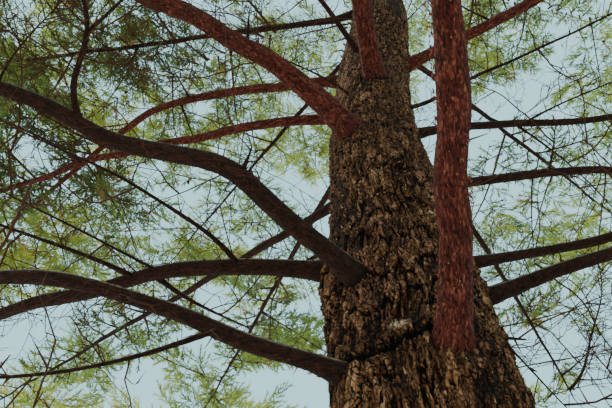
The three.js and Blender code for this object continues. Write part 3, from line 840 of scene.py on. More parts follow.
# Limbs too thin for a mass of needles: stubs, forks and hanging twigs. Each one grows from a share of
# the course of a bough or another side limb, or from the trunk at a height and heading.
SIDE_LIMBS = [
    dict(on="left_2", share=0.355, length=1.2, diameter=0.03, rises=[22, 38, 20, 40],
         headings=[240, 300, 245, 305]),
    dict(on="left_2", share=0.445, length=0.5, diameter=0.014, rises=[25], headings=[300, 320]),
    dict(on="left_2", share=0.2, length=0.13, diameter=0.022, rises=[30], headings=[296]),
    dict(on="left_4", share=0.2, length=0.22, diameter=0.024, rises=[20], headings=[276]),
    dict(on="left_6", share=0.33, length=0.25, diameter=0.02, rises=[15], headings=[242]),
    dict(on="left_6", share=0.35, length=0.42, diameter=0.018, rises=[-25], headings=[69]),
    dict(on="left_3", share=0.16, length=1.25, diameter=0.024, rises=[10, 14],
         headings=[240, 215, 211, 200]),
    dict(on="left_3", share=0.27, length=1.2, diameter=0.024, rises=[-5, 8],
         headings=[225, 210, 205, 214]),
    dict(on="left_3", share=0.24, length=1.0, diameter=0.016, rises=[-5, 10], headings=[222, 219, 212]),
    dict(on="left_3", share=0.25, length=0.55, diameter=0.025, rises=[-20, -12], headings=[37, 20]),
    dict(on="left_1", share=0.2, length=1.2, diameter=0.02, rises=[-32, -20, 5], headings=[184, 188, 196]),
    dict(on="left_5", share=0.46, length=0.9, diameter=0.024, rises=[-5, 8], headings=[232, 215, 205]),
    dict(on="right_4", share=0.21, length=0.35, diameter=0.016, rises=[25], headings=[199]),
    dict(on="right_4", share=0.24, length=0.9, diameter=0.015, rises=[-10, 10], headings=[314, 329, 335]),
    dict(on="right_4", share=0.23, length=1.1, diameter=0.015, rises=[-38, -20], headings=[22, 29, 40]),
    dict(on="right_3", share=0.21, length=0.32, diameter=0.013, rises=[25, 50], headings=[281]),
    dict(on="right_3", share=0.19, length=0.7, diameter=0.009, rises=[-35, -60], headings=[95, 91]),
    dict(on="right_5", share=0.3, length=1.0, diameter=0.018, rises=[5, 15], headings=[300, 312, 305]),
    dict(height=5.12, heading=242, length=0.75, diameter=0.02, rises=[10, 18], headings=[221, 203, 196]),
    dict(height=3.21, heading=303, length=0.6, diameter=0.012, rises=[-40, -20], headings=[23, 40]),
    dict(height=6.69, heading=321, length=0.35, diameter=0.014, rises=[5], headings=[313]),
    dict(height=5.99, heading=237, length=1.3, diameter=0.048, rises=[15, 22],
         headings=[233, 231, 226, 236]),
    dict(height=4.1, heading=150, length=0.5, diameter=0.03, rises=[5], headings=[150, 140]),
    dict(height=3.4, heading=15, length=0.3, diameter=0.03, rises=[12], headings=[20]),
    dict(on="dead", share=0.97, length=1.05, diameter=0.022, rises=[23, 35, 36, 30, 34, 32],
         headings=[323, 282, 290, 262, 230]),
    dict(on="side_1", share=0.36, length=0.6, diameter=0.016, rises=[22, 30], headings=[326, 318]),
    dict(on="dead", share=0.9, length=0.5, diameter=0.014, rises=[18, 30], headings=[334, 307]),
    dict(on="side_25", share=0.1, length=0.4, diameter=0.012, rises=[-10, 10], headings=[0, 330, 260]),
    dict(height=5.2, heading=329, length=2.4, diameter=0.026, rises=[6, 15], headings=[351, 326, 340, 336]),
    dict(on="right_5", share=0.215, length=0.6, diameter=0.018, rises=[13, 20], headings=[198, 205]),
]
# Limbs whose dead twigs grow in a tangle: side limbs are numbered from 1 in their order above
TANGLED = ["left_7", "side_1", "side_2", "side_25", "side_26", "side_27", "side_28"]
# Limbs with no long dead twigs
SWEPT = ["left_1", "front_1"]
# A side limb on the trunk begins this far inside its bark
SIDE_LIMB_DEPTH = 0.04
# The mesh is coarser on these boughs
COARSE_BOUGHS = ("back", "front_3", "front_4")
COARSENESS = 2.0
LEAFY_RING_STEP = 0.05
LEAST_SIDES, MOST_SIDES = 7, 76
# Shreds of bark on the boughs, how many grow on a brown one for each on a red one, and the diameter of
# the thick bough that they are counted for
THICK_BOUGH = 0.14
BOUGH_SHRED_LEANS = (12, 45)
BOUGH_SHRED_LENGTHS = (0.006, 0.02)
BOUGH_SHRED_WIDTHS = (0.003, 0.009)
BROWN_SHRED_SHARE = 0.6


def grown_side_limbs():
    """Side limbs as limbs of their own, whose courses begin on what carries them, bough or side limb."""
    carriers = {limb.name: limb for limb in LIMBED + [DEAD]}
    made = []
    for i, row in enumerate(SIDE_LIMBS):
        sizes = {key: row[key] for key in ("length", "diameter", "rises", "headings")}
        if "on" in row:
            origin = carriers[row["on"]].point(row["share"])
        else:
            origin = trunk_points(np.array(row["height"]), np.radians(row["heading"]), -SIDE_LIMB_DEPTH)
        made.append(Limb(f"side_{i + 1}", origin=origin, **sizes))
        carriers[made[-1].name] = made[-1]
    return made


class PineBoughSettings(bpy.types.PropertyGroup):
    """Sizes and colours of the boughs' bark."""

    ring_step: length_property("Ring step", "Distance between rings of mesh on the bare stretch", 0.0135)
    side_step: length_property("Side step", "Distance between a ring's corners", 0.0088)
    flake: length_property("Flake", "Width of a flake of bark", 0.013)
    stretch: number_property("Stretch", "Length of a flake over its width", 3.0, min=0.5)
    depth: length_property("Depth", "How far a flake stands proud", 0.0016)
    shreds: count_property("Shreds", "Loose shreds on each metre of a thick bough", 700)
    red_dark_colour: colour_property("Dark red bark", "Colour of shaded red flakes", (0.026, 0.004, 0.0025))
    red_colour: colour_property("Red bark", "Colour of flaky red bark", (0.155, 0.02, 0.012))
    red_pale_colour: colour_property("Pale red bark", "Colour of lifted red flakes", (0.50, 0.14, 0.08))
    brown_dark_colour: colour_property("Dark brown bark", "Colour of its shade", (0.019, 0.005, 0.0024))
    brown_colour: colour_property("Brown bark", "Colour of close brown bark", (0.052, 0.0125, 0.0058))
    brown_pale_colour: colour_property("Pale brown bark", "Colour of its strips", (0.13, 0.037, 0.018))
    # Painted highlight: bark that faces up is drawn paler, as where light from above falls
    painted_top_highlight_colour: colour_property("Painted top highlight", "Colour of bark that faces up", (0.52, 0.36, 0.25))
    # Near black between the flakes, partly the bark's own dark and partly painted shade, and painted shade
    # at each limb's foot
    gap_and_painted_shade_colour: colour_property("Cracks", "Colour between the flakes", (0.006, 0.003, 0.002))


def smoothed(points, width):
    """Mean of each point and its neighbours on both sides, mirrored past the ends, which stay put."""
    padded = np.pad(points, ((width, width), (0, 0)), mode="reflect", reflect_type="odd")
    total = np.cumsum(np.vstack([np.zeros(points.shape[1]), padded]), 0)
    return (total[2 * width + 1:] - total[:-2 * width - 1]) / (2 * width + 1)


def limb_rings(settings, limb, start, coarse, seed):
    """Rings of a limb: its course, smoothed and wandering a little, and round it its taper with slow
    lumps and flakes, which are cells stretched along it whose outer ends lift. With them go how far each
    place is drawn dark, between the flakes partly the bark's own dark and partly painted shade, and at
    the foot where the limb enters what carries it as painted shade; its flake's tone, how far it faces
    up, which feeds a painted highlight on the limb's top, and where it would lie if the limb were
    straight."""
    bare_end = min(limb.bare, 0.85) * limb.length
    leafy_rows = max(8, round((limb.length - bare_end) / LEAFY_RING_STEP))
    bare_rings = np.arange(start, bare_end, coarse * settings.ring_step)
    travelled = np.concatenate([bare_rings, np.linspace(bare_end, limb.length, leafy_rows)])
    sides = round(np.pi * limb.diameter / (coarse * settings.side_step))
    sides = int(np.clip(sides, LEAST_SIDES, MOST_SIDES))
    centre = smoothed(limb.point(travelled / limb.length), 5)
    side, over = square_to(normalised(np.gradient(centre, axis=0)))
    sway = 0.16 * limb.diameter * smooth_step(0.25, 0.7, travelled - limb.buried)
    sway = sway * smooth_step(limb.length, limb.length - 0.3, travelled)
    for across, wave, shift in ((side, 0.31, 0), (over, 0.37, 5)):
        centre = centre + (sway * noise(travelled / wave, 0 * travelled, 0, seed + shift))[:, None] * across
    along, turn = np.meshgrid(travelled, 2 * np.pi * np.arange(sides) / sides, indexing="ij")
    flakes = 3 * max(2, round(np.pi * limb.diameter / (3 * settings.flake)))
    x = turn / (2 * np.pi) * flakes
    y = along / (settings.flake * settings.stretch)
    warp = layered_noise(x / 3, y / 2, flakes // 3, seed + 9)
    border, tone, before = cells(x + 0.8 * warp, y + 0.5 * warp, flakes, seed + 13)
    top = smooth_step(0.0, 0.3, border)
    radius = limb.radius(along / limb.length)
    lumps = 0.09 * radius * layered_noise(turn / np.pi, along / 0.25, 2, seed + 17)
    depth = np.minimum(settings.depth, 0.12 * radius)
    straight = np.stack([radius * np.cos(turn), radius * np.sin(turn), along + 7 * seed], -1)
    radius = radius + lumps + depth * (top - 1 + 0.7 * (tone - 0.5) + 0.8 * before * top)
    radius[-1] = 0.0004
    around = swung(side[:, None], over[:, None], turn[..., None])
    # Painted shade: the limb's foot, where it enters what carries it, is drawn dark
    painted_socket_shade = 0.8 * np.exp(-np.maximum(along - limb.buried, 0) / 0.03)
    values = {"crack": np.maximum(0.7 * (1 - top), painted_socket_shade), "tone": tone, "straight": straight,
              "upper": np.clip(around[..., 2], 0, 1)}
    return centre[:, None] + radius[..., None] * around, values


def bough_surface(settings, hue, fineness, top_share):
    """Flakes drawn out along the limb, from dark to pale by their tones and a grain of noise, paler on
    top of the limb as a painted highlight of light from above, near black between the flakes, partly
    the bark's own dark and partly painted shade, and near black at the limb's foot as painted shade.
    The hue is red or brown."""
    surface = Surface(f"{hue.capitalize()} bark", Roughness=0.88, Specular_IOR_Level=0.25)
    names = (f"{hue}_dark_colour", f"{hue}_colour", f"{hue}_pale_colour")
    colours = [getattr(settings, name) for name in names]
    straight = surface.stretched(surface.attribute("straight", "Vector"), (1, 1, 0.3))
    point = surface.warped(straight, 60, 0.014)
    flake, edge = surface.flakes(point, fineness)
    grain = surface.noise(point, 2.2 * fineness, 4)
    tone = surface.attribute("tone") * 0.3 + flake * 0.35 + grain * 1.5 - 0.6
    flakes = surface.ramp(tone, *zip((0.05, 0.5, 1.0), colours))
    # Painted highlight: the limb's top is drawn paler, as where light from above falls, and the colour
    # mixed here carries it
    on_top = surface.attribute("upper").between(0.15, 0.5) * top_share
    weathered = surface.mix(on_top, flakes, settings.painted_top_highlight_colour)
    # Painted shade in part: gaps between flakes go near black, and the limb's foot as painted shade
    edges = (1.0 - edge.between(0.0, 0.2)) * 0.35
    gap_and_painted_shade = (surface.attribute("crack") * 0.8 + edges + grain * 0.6 - 0.35).between(0.1, 0.9)
    surface.feed("Base Color", surface.mix(gap_and_painted_shade, weathered, settings.gap_and_painted_shade_colour))
    surface.bump(edge.between(0.0, 0.2) * 0.5 + flake * 0.6 + grain, 0.005)
    return surface.material


class PINE_OT_boughs(bpy.types.Operator):
    """Dresses each bough in flaky bark, red on some boughs and brown on the others, adds side limbs"""

    bl_idname = "pine.boughs"
    bl_label = "Boughs"

    def execute(self, context):
        settings = context.scene.pine_boughs
        # top_share: strength of the painted highlight on the top of the boughs
        red = bough_surface(settings, "red", fineness=95, top_share=0.12)
        brown = bough_surface(settings, "brown", fineness=130, top_share=0.7)
        for number, limb in enumerate(LIMBED + [DEAD]):
            surface, slot = (red, "red_bark") if limb.name in RED_BARKED else (brown, "dark_bark")
            coarse = COARSENESS if limb.name.startswith(COARSE_BOUGHS) else 1.0
            parts = Parts()
            points, values = limb_rings(settings, limb, 0.5 * limb.buried, coarse, 100 + number)
            add_tube(parts, points, **values)
            add_piece(f"bark_{limb.name}", parts, [surface], [f"bough_{limb.name}"])
        parts = Parts()
        for number, limb in enumerate(grown_side_limbs()):
            points, values = limb_rings(settings, limb, 0.0, 1.0, 200 + number)
            add_tube(parts, points, **values)
        add_piece("side_limbs", parts, [brown])
        self.shred(settings)
        return {"FINISHED"}

    @staticmethod
    def shred(settings):
        """Shreds leave the bark of the boughs along the limb, either way, leaning out, more of them on
        thicker boughs."""
        rng = np.random.default_rng(SEEDS["bough_shreds"])
        red, brown = Parts(), Parts()
        for limb in LIMBED:
            parts, share_of_all = (red, 1.0) if limb.name in RED_BARKED else (brown, BROWN_SHRED_SHARE)
            wanted = share_of_all * settings.shreds * limb.length * limb.bare * limb.diameter / THICK_BOUGH
            count = int(wanted)
            share = rng.uniform(limb.buried / limb.length, limb.bare, count)
            ahead = limb.direction(share)
            out = swung(*square_to(ahead), rng.uniform(0, 2 * np.pi, count)[:, None])
            feet = limb.point(share) + (0.97 * limb.radius(share))[:, None] * out
            lean = np.radians(rng.uniform(*BOUGH_SHRED_LEANS, count))[:, None]
            hand = np.where(rng.random(count) < 0.5, -1, 1)[:, None]
            length = rng.uniform(*BOUGH_SHRED_LENGTHS, count)[:, None]
            tips = feet + length * swung(hand * ahead, out, lean)
            widths = rng.uniform(*BOUGH_SHRED_WIDTHS, count)
            slivers(rng, parts, feet, tips, widths, rng.integers(0, 2, count))
        add_piece("red_shreds", red, [
            plain_surface("Red shreds", settings.red_colour),
            plain_surface("Pale red shreds", settings.red_pale_colour)])
        add_piece("brown_shreds", brown, [
            plain_surface("Brown bough shreds", settings.brown_colour),
            plain_surface("Pale brown bough shreds", settings.brown_pale_colour)])


# Shoots: thin ones grow from thicker ones, by the same steps at each order

class Shoots:
    """Many shoots at once: paths (n, k, 3), lengths, foot radii, and the number of each one's mass."""

    def __init__(self, paths, lengths, radii, owners):
        self.paths, self.lengths, self.radii, self.owners = paths, lengths, radii, owners

    def __len__(self):
        return len(self.lengths)

    def only(self, mask):
        return Shoots(self.paths[mask], self.lengths[mask], self.radii[mask], self.owners[mask])

    def tapered(self, tip_share):
        """Radius at each point of each path, from the foot's to a share of it."""
        return self.radii[:, None] * np.linspace(1, tip_share, self.paths.shape[1])

    def at(self, parents, places):
        """Points and unit directions ahead at places from 0 to 1 along the given parents' paths."""
        steps = self.paths.shape[1] - 1
        place = places * steps
        index = np.minimum(place.astype(int), steps - 1)
        low, high = self.paths[parents, index], self.paths[parents, index + 1]
        return lerp(low, high, (place - index)[:, None]), normalised(high - low)


def together(*groups):
    """Groups of shoots with the same number of points a path, as one."""
    return Shoots(*(np.concatenate([getattr(group, key) for group in groups])
                    for key in ("paths", "lengths", "radii", "owners")))


def curved_paths(rng, feet, directions, lengths, count, curl, crook):
    """Paths of `count` points in even steps. Further steps turn more and more across the first one, up or
    down by a draw from the curl's limits and to a side by half as much, and each strays by the crook."""
    side, over = square_to(directions, steady_guide(directions))
    swerve = rng.uniform(*curl, (len(feet), 1)) * over
    swerve += 0.5 * max(np.abs(curl)) * rng.uniform(-1, 1, (len(feet), 1)) * side
    turned_by = np.linspace(0, 1, count - 1)[:, None] * swerve[:, None]
    stray = crook * np.cumsum(rng.normal(size=(len(feet), count - 1, 3)), 1)
    moves = (lengths / (count - 1))[:, None, None] * normalised(directions[:, None] + turned_by + stray)
    return np.concatenate([feet[:, None], feet[:, None] + np.cumsum(moves, 1)], 1)


def side_shoots(rng, parents, spacing, start, reach, angles, rolls, count, curl=(0, 0), crook=0.0):
    """Shoots that leave the parents every `spacing` by turns left and right, from a share of their
    length on. Their own length is a function of the parent and the place along it, their angle goes
    from the first to the last, each is turned about its parent by a roll between two limits, and then
    curls and strays, as paths of `count` points."""
    numbers = np.maximum(np.round(parents.lengths * (1 - start) / spacing), 1).astype(int)
    parent = np.repeat(np.arange(len(parents)), numbers)
    index = np.arange(len(parent)) - np.repeat(np.cumsum(numbers) - numbers, numbers)
    place = start + (1 - start) * (index + rng.uniform(0.15, 0.85, len(parent))) / numbers[parent]
    feet, ahead = parents.at(parent, place)
    side, over = square_to(ahead, nudge=NUDGE)
    hand = np.where(index % 2 == 0, 1, -1)[:, None]
    angle = np.radians(lerp(*angles, place))[:, None]
    roll = np.radians(rng.uniform(*rolls, len(parent)))[:, None]
    directions = swung(ahead, swung(hand * side, over, roll), angle)
    lengths = reach(parent, place) * rng.uniform(0.75, 1.2, len(parent))
    radii = 0.62 * parents.radii[parent] * (1 - 0.6 * place)
    paths = curved_paths(rng, feet, normalised(directions), lengths, count, curl, crook)
    return Shoots(paths, lengths, radii, parents.owners[parent])


def turned(direction, sideways, raised):
    """Direction turned sideways from another and raised, in degrees."""
    heading = np.arctan2(direction[1], direction[0]) + np.radians(sideways)
    return heading_vector(heading, np.arcsin(direction[2]) + np.radians(raised))


def first_shoots(limb, number):
    """First shoots of a mass, as (foot, direction, length, radius), by the seeded rule: the stem runs
    on, twigs leave it by turns to the left and right, longest a little before its middle, and every
    second one forks."""
    run = FAN_AHEAD * FAN_LENGTH * limb.vigour
    made = [(limb.point(1.0), limb.direction(1.0), run, limb.radius(1.0))]
    for i in range(TWIGS_PER_STEM):
        along = (i + TWIG_PLACE_LEAST + TWIG_PLACE_SPREAD * scattered(number, 3 * i)) / TWIGS_PER_STEM
        share = lerp(limb.leafy_from, 1, along)
        hand = 1 if i % 2 == 0 else -1
        raised = lerp(*TWIG_LIFTS, scattered(number, 3 * i + 1))
        fullness = lerp(TWIG_END_FULLNESS, 1, np.sin(np.pi * min(along + TWIG_FULLEST_SHIFT, 1)))
        varied = 1 + TWIG_LENGTH_VARIES * (2 * scattered(number, 3 * i + 2) - 1)
        reach = TWIG_LENGTH * limb.length * fullness * varied
        direction = turned(limb.direction(share), hand * lerp(*TWIG_ANGLES, along), raised)
        foot = limb.point(share)
        radius = max(TWIG_THICKNESS * limb.radius(share), TWIG_MIN_RADIUS)
        made.append((foot, direction, reach + run, radius))
        if i % MIDDLE_SHOOT_EVERY == 1:
            fork = turned(direction, -hand * MIDDLE_SHOOT_SPLAY, MIDDLE_SHOOT_RISE)
            made.append((foot + 0.5 * reach * direction, fork, run, 0.6 * radius))
    return made


def leader_shoots():
    """Short shoots round the trunk's tip, turned on by the golden angle, shorter and steeper upwards."""
    made = []
    for i in range(LEADER_SHOOTS):
        share = (i + 0.5) / LEADER_SHOOTS
        height = TRUNK_HEIGHT - LEADER_LENGTH * (1 - share)
        foot = np.array([trunk_value(TRUNK_LEANS, height), 0, height])
        direction = heading_vector(np.radians(i * GOLDEN_ANGLE), np.radians(lerp(*LEADER_RISES, share)))
        made.append((foot, direction, lerp(*LEADER_SHOOT_LENGTHS, share), LEADER_SHOOT_RADIUS))
    return made


def stretches(rows):
    """Starts and ends of the straight stretches between the points of rows, and each one's row."""
    starts = np.concatenate([row[:-1] for row in rows])
    ends = np.concatenate([row[1:] for row in rows])
    return starts, ends, np.repeat(np.arange(len(rows)), [len(row) - 1 for row in rows])


def distance_to_rows(points, rows):
    """Distance of each point from each row, whose points are joined by straight lines."""
    starts, ends, row = stretches(rows)
    run = ends - starts
    found = []
    for some in np.array_split(points, max(1, len(points) // 2000)):
        offset = some[:, None] - starts
        t = np.clip((offset * run).sum(-1) / (run**2).sum(-1), 0, 1)
        gap = np.linalg.norm(offset - t[..., None] * run, axis=-1)
        found.append(np.minimum.reduceat(gap, np.flatnonzero(np.diff(row, prepend=-1)), axis=1))
    return np.concatenate(found)


def keeps_to_space(points, owners):
    """Whether each point is clear of the trunk and the bare limbs, and nearer to its own mass's stem
    than to any other's."""
    lean = trunk_value(TRUNK_LEANS, points[:, 2])
    angle = np.arctan2(points[:, 1], points[:, 0] - lean)
    from_axis = np.hypot(points[:, 0] - lean, points[:, 1])
    clear = from_axis > trunk_radius(points[:, 2], angle) + LIMB_CLEARANCE
    limbs = LIMBED + [DEAD]
    bare = [limb.course[:max(round(limb.bare * COURSE_STEPS), 2):3] for limb in limbs]
    thick = np.array([0.5 * limb.diameter for limb in limbs])
    clear &= (distance_to_rows(points, bare) - thick > LIMB_CLEARANCE).all(1)
    stems = [limb.course[round(limb.bare * COURSE_STEPS)::2] for limb in LEAFY]
    from_stems = distance_to_rows(points, stems)
    own = from_stems[np.arange(len(points)), owners].copy()
    from_stems[np.arange(len(points)), owners] = np.inf
    return clear & (own + MASS_CLEARANCE < from_stems.min(1))


class PineFoliageSettings(bpy.types.PropertyGroup):
    """Sizes and colours of the live twigs, needles and cones."""

    twig_spacing: length_property("Twig spacing", "Distance between second twigs along a first one", 0.105)
    least_reach: length_property("Least reach", "Length of the shortest second twigs", 0.26)
    spray_spacing: length_property("Spray spacing", "Distance between sprays along a second twig", 0.027)
    spray_length: length_property("Spray length", "Length of the shoot that a spray sits on", 0.17)
    needles: count_property("Needles", "Needles in a spray, where they have their full size", 13, 3)
    needle_length: length_property("Needle length", "Length of a needle", 0.078)
    needle_width: length_property("Needle width", "Width of a needle at its foot", 0.0155)
    cone_length: length_property("Cone length", "Length of a cone", 0.06)
    cones: count_property("Cones", "Cones on the whole tree", 170)
    twig_colour: colour_property("Twigs", "Colour of live twigs", (0.11, 0.038, 0.018))
    cone_colour: colour_property("Cones", "Colour of cones", (0.035, 0.02, 0.013))


# Tints of needles, from sunlit to shaded, and a dry one: plain colours, dealt out by spray
NEEDLE_TINTS = {
    "Needles sunlit": (0.48, 0.52, 0.15),
    "Needles fresh": (0.33, 0.39, 0.11),
    "Needles green": (0.21, 0.27, 0.08),
    "Needles deep": (0.135, 0.145, 0.048),
    "Needles shaded": (0.085, 0.075, 0.028),
    "Needles dry": (0.34, 0.17, 0.08),
}
DRY_SHARE = 0.04
# Part of the light that a needle lets through
THROUGH_SHARE = 0.45
# Shoots round the top stretch of the trunk, from the lowest to the highest
LEADER_SHOOTS = 14
LEADER_LENGTH = 1.1
LEADER_RISES = (30, 75)
LEADER_SHOOT_LENGTHS = (0.55, 0.15)
LEADER_SHOOT_RADIUS = 0.012
# How far past the box of the solids a spray may end
REACH_BEYOND = 0.1
# Share of the second twigs that the opening lacks, and how sprays crowd outside the dense part and in it
OPENED_SHARE = 0.65
SPRAY_CROWDING = (1.04, 0.55)
STEM_POINTS = 9
FINEST_TWIG_WIDTH = 0.005
# Needles lean off their shoot between these angles
NEEDLE_LEANS = (15, 60)
# Masses that share a piece, by how their names begin, and the size of their needles, which are finest
# on the low boughs
REGIONS = {
    "left_low": (("left_1", "left_2", "left_3", "left_4"), 0.75),
    "left_high": (("left_5", "left_6", "left_7"), 0.9),
    "right": (("right",), 0.85),
    "front": (("front",), 0.9),
    "back_low": (("back_1", "back_2", "back_3"), 0.75),
    "back_high": (("back_4", "back_5", "back_6", "back_7"), 0.85),
    "upper_low": (("upper_1", "upper_2", "upper_3", "upper_4"), 1.1),
    "upper_high": (("upper_5", "upper_6", "upper_7", "upper_8"), 1.25),
    "top": (("top",), 1.25),
}


def overhead(points):
    """How far points are within the crown's densest part, over its left front: 0 to 1."""
    x, y, z = points.T
    level = smooth_step(4.0, 5.5, z) * smooth_step(11.0, 8.5, z)
    return smooth_step(-1.0, -2.3, x) * smooth_step(2.4, 0.6, y) * level


def opening(points):
    """How far points are within the gap that shows the sky, low at the crown's back right: 0 to 1."""
    x, y, z = points.T
    across = smooth_step(0.7, 1.5, x) * smooth_step(4.4, 3.4, x)
    return across * smooth_step(0.6, 1.6, y) * smooth_step(7.2, 6.0, z)


def grown_foliage(settings):
    """First and second twigs and sprays of every mass, each order grown from the one before, with what
    would leave its mass's space left out. Second twigs reach the outline of their fan."""
    rng = np.random.default_rng(SEEDS["foliage"])
    firsts = [(number, *shoot) for number, limb in enumerate(LEAFY) for shoot in first_shoots(limb, number)]
    firsts += [(len(LEAFY) - 1, *shoot) for shoot in leader_shoots()]
    owners, feet, directions, lengths, radii = (np.array(column) for column in zip(*firsts))
    paths = curved_paths(rng, feet, directions, lengths, STEM_POINTS, curl=(-0.04, 0.2), crook=0.05)
    first = Shoots(paths, lengths, radii, owners)
    first = first.only(keeps_to_space(first.paths[:, STEM_POINTS // 2], owners))
    stems = Shoots(
        np.stack([limb.point(np.linspace(limb.leafy_from, 1, STEM_POINTS)) for limb in LEAFY]),
        np.array([limb.length * (1 - limb.leafy_from) for limb in LEAFY]),
        np.array([limb.radius(limb.leafy_from) for limb in LEAFY]), np.arange(len(LEAFY)))
    parents = together(stems, first)
    fan = FAN_LENGTH * np.array([limb.vigour for limb in LEAFY])[parents.owners]
    beyond = np.where(np.arange(len(parents)) < len(stems), FAN_AHEAD * fan, 0)

    def to_outline(parent, place):
        to_tip = (1 - place) * parents.lengths[parent] + beyond[parent]
        reach = np.minimum(FAN_OPENS * (fan[parent] - to_tip), FAN_CLOSES * to_tip)
        return np.maximum(reach, settings.least_reach * (1 - 0.6 * place))

    second = side_shoots(
        rng, parents, settings.twig_spacing, start=0.06, reach=to_outline, angles=(58, 40), rolls=(-22, 30),
        count=5, curl=(-0.15, 0.45), crook=0.07)
    second = second.only(keeps_to_space(second.paths[:, -1], second.owners))
    second = second.only(rng.random(len(second)) > OPENED_SHARE * opening(second.paths[:, 2]))
    spacing = settings.spray_spacing * lerp(*SPRAY_CROWDING, overhead(second.paths[:, 2]))
    sprays = side_shoots(
        rng, second, spacing, start=0.1, reach=lambda parent, place: settings.spray_length,
        angles=(70, 20), rolls=(-55, 80), count=2)
    sprays = sprays.only(keeps_to_space(sprays.paths[:, -1], sprays.owners))
    low, high = np.array(CAD_BOX)
    tips = sprays.paths[:, -1]
    sprays = sprays.only(((tips > low - REACH_BEYOND) & (tips < high + REACH_BEYOND)).all(1))
    return first, second, sprays


def add_needles(rng, parts, settings, sprays, tints, size):
    """Needles in sprays: feet spaced along each spray's shoot, turned on by the golden angle and leaning
    off it, each needle a slim triangle from its foot to its tip. The smaller they are, the more of them
    there are."""
    count = round(settings.needles / size)
    feet, ends = sprays.paths[:, 0], sprays.paths[:, -1]
    ahead = normalised(ends - feet)
    side, over = square_to(ahead, nudge=NUDGE)
    place = np.linspace(0.1, 1.0, count)[None, :, None]
    turn = np.radians(GOLDEN_ANGLE) * np.arange(count)[None, :] + rng.uniform(0, 6.28, (len(sprays), 1))
    lean = np.radians(rng.uniform(*NEEDLE_LEANS, turn.shape))[..., None]
    out = swung(side[:, None], over[:, None], turn[..., None])
    direction = swung(ahead[:, None], out, lean)
    root = (feet[:, None] + place * (ends - feet)[:, None]).reshape(-1, 3)
    length = size * settings.needle_length * rng.uniform(0.75, 1.15, turn.size)[:, None]
    tips = root + length * direction.reshape(-1, 3)
    slivers(rng, parts, root, tips, size * settings.needle_width, np.repeat(tints, count))


def needle_surface(name, colour):
    """A needle that sends light back, and lets part of it through in a yellower hue."""
    surface = Surface(name, Base_Color=(*colour, 1), Roughness=0.55, Specular_IOR_Level=0.35)
    through_colour = (min(1, 1.3 * colour[0]), min(1, 1.25 * colour[1]), 0.6 * colour[2], 1)
    through = surface.node("ShaderNodeBsdfTranslucent", inputs={"Color": through_colour})
    front = Value(surface, surface.shader.outputs["BSDF"])
    mixed = surface.node("ShaderNodeMixShader", inputs={0: THROUGH_SHARE, 1: front, 2: through})
    output = surface.tree.nodes["Material Output"]
    surface.tree.links.new(mixed.socket, output.inputs["Surface"])
    return surface.material


def tints_of(rng, sprays):
    """Number of each spray's tint: sunlit towards the top and the outside of the crown, shaded further
    in, in drifts of noise, with a few dry ones."""
    feet = sprays.paths[:, 0]
    outward = np.hypot(feet[:, 0], feet[:, 1]) / 6 + feet[:, 2] / 24
    drift = noise(feet[:, 0] * 1.3, feet[:, 1] * 1.3 + 2.1 * feet[:, 2], 0, 5)
    shade = 3.4 - 2.4 * outward + 1.5 * overhead(feet) + 1.3 * drift + rng.normal(0, 0.8, len(feet))
    tint = np.clip(np.round(shade), 0, 4).astype(int)
    return np.where(rng.random(len(feet)) < DRY_SHARE, len(NEEDLE_TINTS) - 1, tint)


class PINE_OT_foliage(bpy.types.Operator):
    """Grows each mass of needles on from its bough, in twigs and sprays, and hangs cones in them"""

    bl_idname = "pine.foliage"
    bl_label = "Twigs, needles and cones"

    def execute(self, context):
        settings = context.scene.pine_foliage
        rng = np.random.default_rng(SEEDS["tints"])
        first, second, sprays = grown_foliage(settings)
        tints = tints_of(rng, sprays)
        green = [needle_surface(name, colour) for name, colour in NEEDLE_TINTS.items()]
        wood = plain_surface("Twig bark", settings.twig_colour)
        for region, (beginnings, size) in REGIONS.items():
            twigs, needles = Parts(), Parts()
            inside = np.array([limb.name.startswith(beginnings) for limb in LEAFY])
            for group, sides, tip in ((first, 4, 0.3), (second, 3, 0.35)):
                here = group.only(inside[group.owners])
                tubes(twigs, here.paths, here.tapered(tip), sides)
            chosen = inside[sprays.owners]
            here = sprays.only(chosen)
            slivers(rng, twigs, here.paths[:, 0], here.paths[:, -1], FINEST_TWIG_WIDTH)
            add_needles(rng, needles, settings, here, tints[chosen], size)
            names = [f"needles_{limb.name}" for limb in LEAFY if limb.name.startswith(beginnings)]
            add_piece(f"twigs_{region}", twigs, [wood])
            add_piece(f"sprays_{region}", needles, green, names)
        self.hang_cones(rng, settings, second)
        return {"FINISHED"}

    @staticmethod
    def hang_cones(rng, settings, second):
        """Cones hang from second twigs: a straight tube each, whose radii swell and shrink with its
        scales, widest a third of the way down, where it is 0.6 as wide as long."""
        chosen = rng.choice(len(second), settings.cones, replace=False)
        feet, ahead = second.at(chosen, rng.uniform(0.2, 0.8, settings.cones))
        down = normalised(0.5 * ahead - UP + 0.35 * rng.normal(size=ahead.shape))
        outline = np.array([0.25, 0.85, 0.7, 1.0, 0.8, 0.95, 0.7, 0.7, 0.4, 0.1])
        length = settings.cone_length * rng.uniform(0.75, 1.2, (settings.cones, 1))
        along = np.linspace(0.05, 1, len(outline))
        paths = feet[:, None] + (length * along)[..., None] * down[:, None]
        parts = Parts()
        tubes(parts, paths, 0.3 * length * outline, 7)
        add_piece("cones", parts, [plain_surface("Cone scales", settings.cone_colour)])


# Radii of dead twigs at their feet, and the points along the stretch of a limb that bears them
LONG_RADII = (0.0025, 0.006)
SHORT_RADII = (0.0022, 0.0045)
FORK_RADII = (0.0018, 0.0028)
STUB_RADII = (0.0025, 0.006)
LIMB_POINTS = 25
# Where the fibres hang, and how thick they are
FIBRE_HEIGHTS = (4.15, 5.3)
FIBRE_HEADINGS = (200, 330)
FIBRE_LENGTHS = (0.05, 0.3)
FIBRE_RADIUS = 0.0015
FIBRE_POINTS = 14


